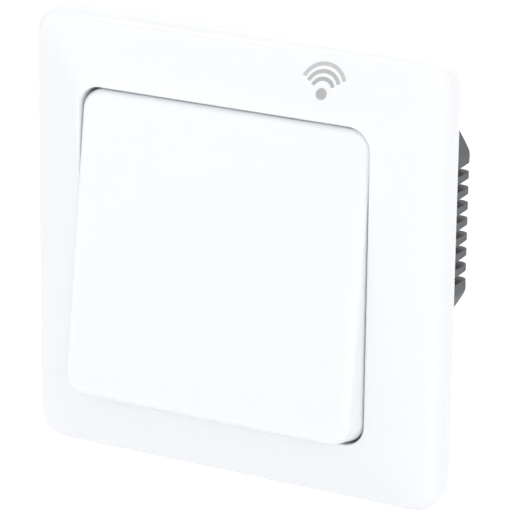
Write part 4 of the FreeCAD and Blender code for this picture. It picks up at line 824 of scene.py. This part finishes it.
def solids_of(node):
    """The low and high corners of each separate solid of a CAD node, from left to right."""
    shape = merged_copy(node)
    unseen = set(shape.verts)
    corners = []
    while unseen:
        reached = [unseen.pop()]
        for vert in reached:
            beside = {edge.other_vert(vert) for edge in vert.link_edges} & unseen
            reached.extend(beside)
            unseen -= beside
        places = [vert.co for vert in reached]
        low = Vector([min(place[axis] for place in places) for axis in range(3)])
        high = Vector([max(place[axis] for place in places) for axis in range(3)])
        corners.append((low, high))
    shape.free()
    return sorted(corners, key=lambda pair: [round(value / MM, 2) for value in pair[0]])


def add_thread(shape, radius, pitch, end, sizes):
    """A threaded rod about Z from 0 down to `end` and its tip, with the crest at `radius`."""
    deep = sizes.thread_depth * pitch
    turns = math.ceil(-end / pitch) + 2
    verts = [
        shape.verts.new((radius - (1 - crest) * deep, 0, end + (share - 1.5) * pitch))
        for crest, share in THREAD_OUTLINE
    ]
    edges = [shape.edges.new(pair) for pair in zip(verts, verts[1:])]
    bmesh.ops.spin(
        shape, geom=verts + edges, cent=(0, 0, 0), axis=(0, 0, 1), dvec=(0, 0, pitch / sizes.steps),
        angle=math.tau * turns, steps=sizes.steps * turns, use_merge=False,
    )
    bmesh.ops.remove_doubles(shape, verts=shape.verts, dist=WELD / 2)
    for level, side in ((0.0, 1), (end, -1)):
        bmesh.ops.bisect_plane(
            shape, geom=everything(shape), dist=ON_CUT,
            plane_co=(0, 0, level), plane_no=(0, 0, side), clear_outer=True,
        )
    rims = [edge for edge in open_rims(shape) if edge.verts[0].co.z < -pitch]
    tip = new_verts(bmesh.ops.extrude_edge_only(shape, edges=rims))
    bmesh.ops.translate(shape, verts=tip, vec=(0, 0, -sizes.tip_length * radius))
    bmesh.ops.scale(shape, verts=tip, vec=(sizes.tip_end, sizes.tip_end, 1))
    bmesh.ops.holes_fill(shape, edges=open_rims(shape), sides=0)


def press_cross(shape, reach, half_arm, depth, floor_share):
    """A tapered cross recess in the flat face on top."""
    for axis in ((1, 0, 0), (0, 1, 0)):
        for offset in (-reach, -half_arm, half_arm, reach):
            flat = [face for face in shape.faces if face.normal.z > ROUGHLY_UP]
            rims = dict.fromkeys(edge for face in flat for edge in face.edges)
            corners = dict.fromkeys(vert for face in flat for vert in face.verts)
            bmesh.ops.bisect_plane(
                shape, geom=[*flat, *rims, *corners], dist=ON_CUT,
                plane_co=Vector(axis) * offset, plane_no=axis,
            )
    arms = []
    for face in shape.faces:
        middle = face.calc_center_median()
        near, far = sorted((abs(middle.x), abs(middle.y)))
        if face.normal.z > ROUGHLY_UP and near < half_arm and far < reach:
            arms.append(face)
    floor = new_verts(bmesh.ops.extrude_face_region(shape, geom=arms))
    bmesh.ops.delete(shape, geom=arms, context="FACES")
    bmesh.ops.translate(shape, verts=floor, vec=(0, 0, -depth))
    bmesh.ops.scale(shape, verts=floor, vec=(floor_share, floor_share, 1))


def saw_slot(shape, half_width, floor):
    """A slot right across a head, along X, down to the level `floor`."""
    planes = (((0, half_width, 0), (0, 1, 0)), ((0, -half_width, 0), (0, 1, 0)))
    for place, normal in (*planes, ((0, 0, floor), (0, 0, 1))):
        bmesh.ops.bisect_plane(
            shape, geom=everything(shape), dist=ON_CUT, plane_co=place, plane_no=normal
        )
    inside = []
    for face in shape.faces:
        middle = face.calc_center_median()
        if abs(middle.y) < half_width and middle.z > floor:
            inside.append(face)
    bmesh.ops.delete(shape, geom=inside, context="FACES")
    open_edges = open_rims(shape)
    feet = []
    for side in (-half_width, half_width):
        wall = [edge for edge in open_edges if all(abs(v.co.y - side) < WELD for v in edge.verts)]
        ends = dict.fromkeys(v for edge in wall for v in edge.verts if abs(v.co.z - floor) < WELD)
        feet.append(shape.edges.new(tuple(ends)))
        bmesh.ops.contextual_create(shape, geom=[*wall, feet[-1]])
    level = [edge for edge in open_edges if all(abs(v.co.z - floor) < WELD for v in edge.verts)]
    bmesh.ops.contextual_create(shape, geom=[*level, *feet])


def add_head(shape, radius, height, sizes, cross):
    """A cheese head that stands on Z = 0."""
    disc = bmesh.ops.create_circle(shape, cap_ends=True, segments=sizes.steps, radius=radius)
    faces = list({face for vert in disc["verts"] for face in vert.link_faces})
    top = new_verts(bmesh.ops.extrude_face_region(shape, geom=faces, use_keep_orig=True))
    bmesh.ops.translate(shape, verts=top, vec=(0, 0, height))
    bmesh.ops.recalc_face_normals(shape, faces=shape.faces)
    rim = [edge for edge in shape.edges if all(vert.co.z > height / 2 for vert in edge.verts)]
    bmesh.ops.bevel(
        shape, geom=rim, offset=sizes.head_round, affect="EDGES", segments=3, profile=0.5,
        material=-1,
    )
    depth = sizes.slot_depth * height
    if cross:
        reach = sizes.cross_reach * radius
        deep = sizes.cross_depth * depth
        press_cross(shape, reach, sizes.slot_width / 2, deep, sizes.cross_floor)
    else:
        saw_slot(shape, sizes.slot_width / 2, height - depth)


def screw_mesh(head_radius, head_height, shank_radius, length, pitch, sizes, cross):
    """One screw: its head stands on Z = 0 and its shank runs down."""
    shape = bmesh.new()
    add_head(shape, head_radius, head_height, sizes, cross)
    bmesh.ops.recalc_face_normals(shape, faces=shape.faces)
    rod = bmesh.new()
    add_thread(rod, shank_radius, pitch, sizes.tip_length * shank_radius - length, sizes)
    bmesh.ops.recalc_face_normals(rod, faces=rod.faces)
    mesh = bpy.data.meshes.new("screw_part")
    rod.to_mesh(mesh)
    rod.free()
    shape.from_mesh(mesh)
    shape.to_mesh(mesh)
    shape.free()
    return mesh


def add_screws(context, name, node, pitch, cross, heads_back):
    """Threaded screws in the places and sizes of a CAD node's solids."""
    corners = solids_of(node)
    head = HEAD_HEIGHTS[node]
    low, high = corners[0]
    template = screw_mesh(
        (high.x - low.x) / 2, head, SHANK_RADII[node], high.y - low.y - head, pitch,
        context.scene.switch_screws, cross,
    )
    stand = Matrix.Rotation(math.radians(-90 if heads_back else 90), 4, "X")
    shape = bmesh.new()
    for number, (low, high) in enumerate(corners):
        seat = high.y - head if heads_back else low.y + head
        before = set(shape.verts)
        shape.from_mesh(template)
        fresh = [vert for vert in shape.verts if vert not in before]
        spin = Matrix.Rotation(SCREW_TURN * number, 4, "Z")
        place = Matrix.Translation(((low.x + high.x) / 2, seat, (low.z + high.z) / 2))
        bmesh.ops.transform(shape, matrix=place @ stand @ spin, verts=fresh)
    mesh = bpy.data.meshes.new(name)
    shape.to_mesh(mesh)
    shape.free()
    mesh.shade_smooth()
    mesh.set_sharp_from_angle(angle=SHARP_EDGE)
    piece = add_piece(context, name, mesh, ("zinc_plate",))
    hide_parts(node)


class SWITCH_OT_screws(bpy.types.Operator):
    """Puts threaded, slotted screws in place of the plain ones"""

    bl_idname = "wall_switch.screws"
    bl_label = "Screws"

    def execute(self, context):
        sizes = context.scene.switch_screws
        add_screws(
            context, "plate_fixing_screws", "plate_screws", sizes.tapping_pitch,
            cross=True, heads_back=False,
        )
        add_screws(
            context, "claw_drive_screws", "claw_screws", sizes.machine_pitch,
            cross=False, heads_back=False,
        )
        add_screws(
            context, "clamp_screws", "terminal_screws", sizes.machine_pitch,
            cross=False, heads_back=True,
        )
        return {"FINISHED"}


# Stage


def back_vector(turn, rise):
    """From the part towards a viewer who stands turned to the right and raised."""
    return Vector((
        math.sin(turn) * math.cos(rise), -math.cos(turn) * math.cos(rise), math.sin(rise)
    ))


def view_axes(place):
    """The camera's right, up and back directions."""
    turn, rise, roll = map(math.radians, (place.azimuth, place.elevation, place.roll))
    back = back_vector(turn, rise)
    level = Vector((math.cos(turn), math.sin(turn), 0))
    upright = back.cross(level)
    right = math.cos(roll) * level + math.sin(roll) * upright
    up = math.cos(roll) * upright - math.sin(roll) * level
    return level, upright, right, up, back


def set_camera(context, place):
    level, upright, right, up, back = view_axes(place)
    data = bpy.data.cameras.new("camera")
    data.sensor_width = SENSOR
    data.lens = place.focal_pixels * SENSOR / IMAGE_SIDE
    data.shift_x = (IMAGE_SIDE / 2 - place.axis_x) / IMAGE_SIDE
    data.shift_y = (place.axis_y - IMAGE_SIDE / 2) / IMAGE_SIDE
    camera = bpy.data.objects.new("camera", data)
    position = level * place.aside + upright * place.above + back * place.distance
    turned = Matrix((right, up, back)).transposed().to_4x4()
    camera.matrix_world = Matrix.Translation(position) @ turned
    context.scene.collection.objects.link(camera)
    context.scene.camera = camera


def white_to_camera(tree, shader_input, seen, lit):
    """A colour that the camera and mirrors see as one value and that lights the part as another."""
    path = tree.nodes.new("ShaderNodeLightPath")
    seen_by = path.outputs["Is Camera Ray"]
    for ray in ("Is Glossy Ray", "Is Transmission Ray"):
        either = add_node(tree, "ShaderNodeMath", operation="MAXIMUM")
        tree.links.new(seen_by, either.inputs[0])
        tree.links.new(path.outputs[ray], either.inputs[1])
        seen_by = either.outputs[0]
    tree.links.new(mix_colours(tree, seen_by, lit, seen), shader_input)


def set_world(scene, strength):
    world = bpy.data.worlds.new("surround")
    world.use_nodes = True
    tree = world.node_tree
    background = tree.nodes["Background"]
    tint = [strength * channel for channel in SKY_TINT]
    white_to_camera(tree, background.inputs["Color"], SKY_SEEN, tint)
    scene.world = world


def set_floor(scene, drop):
    mesh = bpy.data.meshes.new("floor")
    sheet = bmesh.new()
    bmesh.ops.create_grid(sheet, x_segments=1, y_segments=1, size=FLOOR_SIZE)
    level = CAD_BOX[0].z - drop
    bmesh.ops.translate(sheet, verts=sheet.verts, vec=(0, 0, level))
    sheet.to_mesh(mesh)
    sheet.free()
    floor = bpy.data.objects.new("floor", mesh)
    scene.collection.objects.link(floor)
    material, tree, shader = new_material("floor_white")
    tree.nodes.remove(shader)
    paint = tree.nodes.new("ShaderNodeBsdfDiffuse")
    white_to_camera(tree, paint.inputs["Color"], FLOOR_SEEN, FLOOR_LIT)
    tree.links.new(paint.outputs["BSDF"], tree.nodes["Material Output"].inputs["Surface"])
    mesh.materials.append(material)
    floor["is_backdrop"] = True


def set_lamp(scene, name, power, size, azimuth, elevation, distance):
    """A square soft lamp that faces the part, placed by its direction from it."""
    data = bpy.data.lights.new(name, "AREA")
    data.energy = power
    data.size = size
    lamp = bpy.data.objects.new(name, data)
    towards = back_vector(math.radians(azimuth), math.radians(elevation))
    lamp.location = towards * distance
    lamp.rotation_mode = "QUATERNION"
    lamp.rotation_quaternion = (-towards).to_track_quat("-Z", "Y")
    scene.collection.objects.link(lamp)


class SWITCH_OT_stage(bpy.types.Operator):
    """Sets the floor, the surround, the lamps and the camera"""

    bl_idname = "wall_switch.stage"
    bl_label = "Stage"

    def execute(self, context):
        scene = context.scene
        levels = scene.switch_lights
        scene.view_settings.view_transform = "Standard"
        set_camera(context, scene.switch_camera)
        set_world(scene, levels.surround)
        set_floor(scene, levels.floor_drop)
        for name, place in LAMPS.items():
            set_lamp(scene, name + "_lamp", getattr(levels, name), *place)
        return {"FINISHED"}


class SWITCH_PT_panel(bpy.types.Panel):
    """The operators in the order that they run"""

    bl_idname = "SWITCH_PT_panel"
    bl_label = "Wall switch"
    bl_space_type = "VIEW_3D"
    bl_region_type = "UI"
    bl_category = "Switch"

    def draw(self, context):
        for operator in OPERATORS:
            self.layout.operator(operator.bl_idname)


OPERATORS = (SWITCH_OT_finishes, SWITCH_OT_marked_frame, SWITCH_OT_screws, SWITCH_OT_stage)
CLASSES = (*SETTINGS.values(), *OPERATORS, SWITCH_PT_panel)


def register():
    for item in CLASSES:
        bpy.utils.register_class(item)
    for name, settings in SETTINGS.items():
        setattr(bpy.types.Scene, name, PointerProperty(type=settings))


def unregister():
    for name in SETTINGS:
        delattr(bpy.types.Scene, name)
    for item in reversed(CLASSES):
        bpy.utils.unregister_class(item)


def write_sizes():
    """Builds the CAD model's box and the dressed model's box as plain lists, and neither writes nor
    keeps them.
    """
    boxes = {"cad": CAD_BOX, "visual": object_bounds()}
    {name: [list(corner) for corner in box] for name, box in boxes.items()}


def main():
    register()
    bpy.ops.wall_switch.finishes()
    bpy.ops.wall_switch.marked_frame()
    bpy.ops.wall_switch.screws()
    bpy.ops.wall_switch.stage()
    write_sizes()


if __name__ == "__main__":
    main()
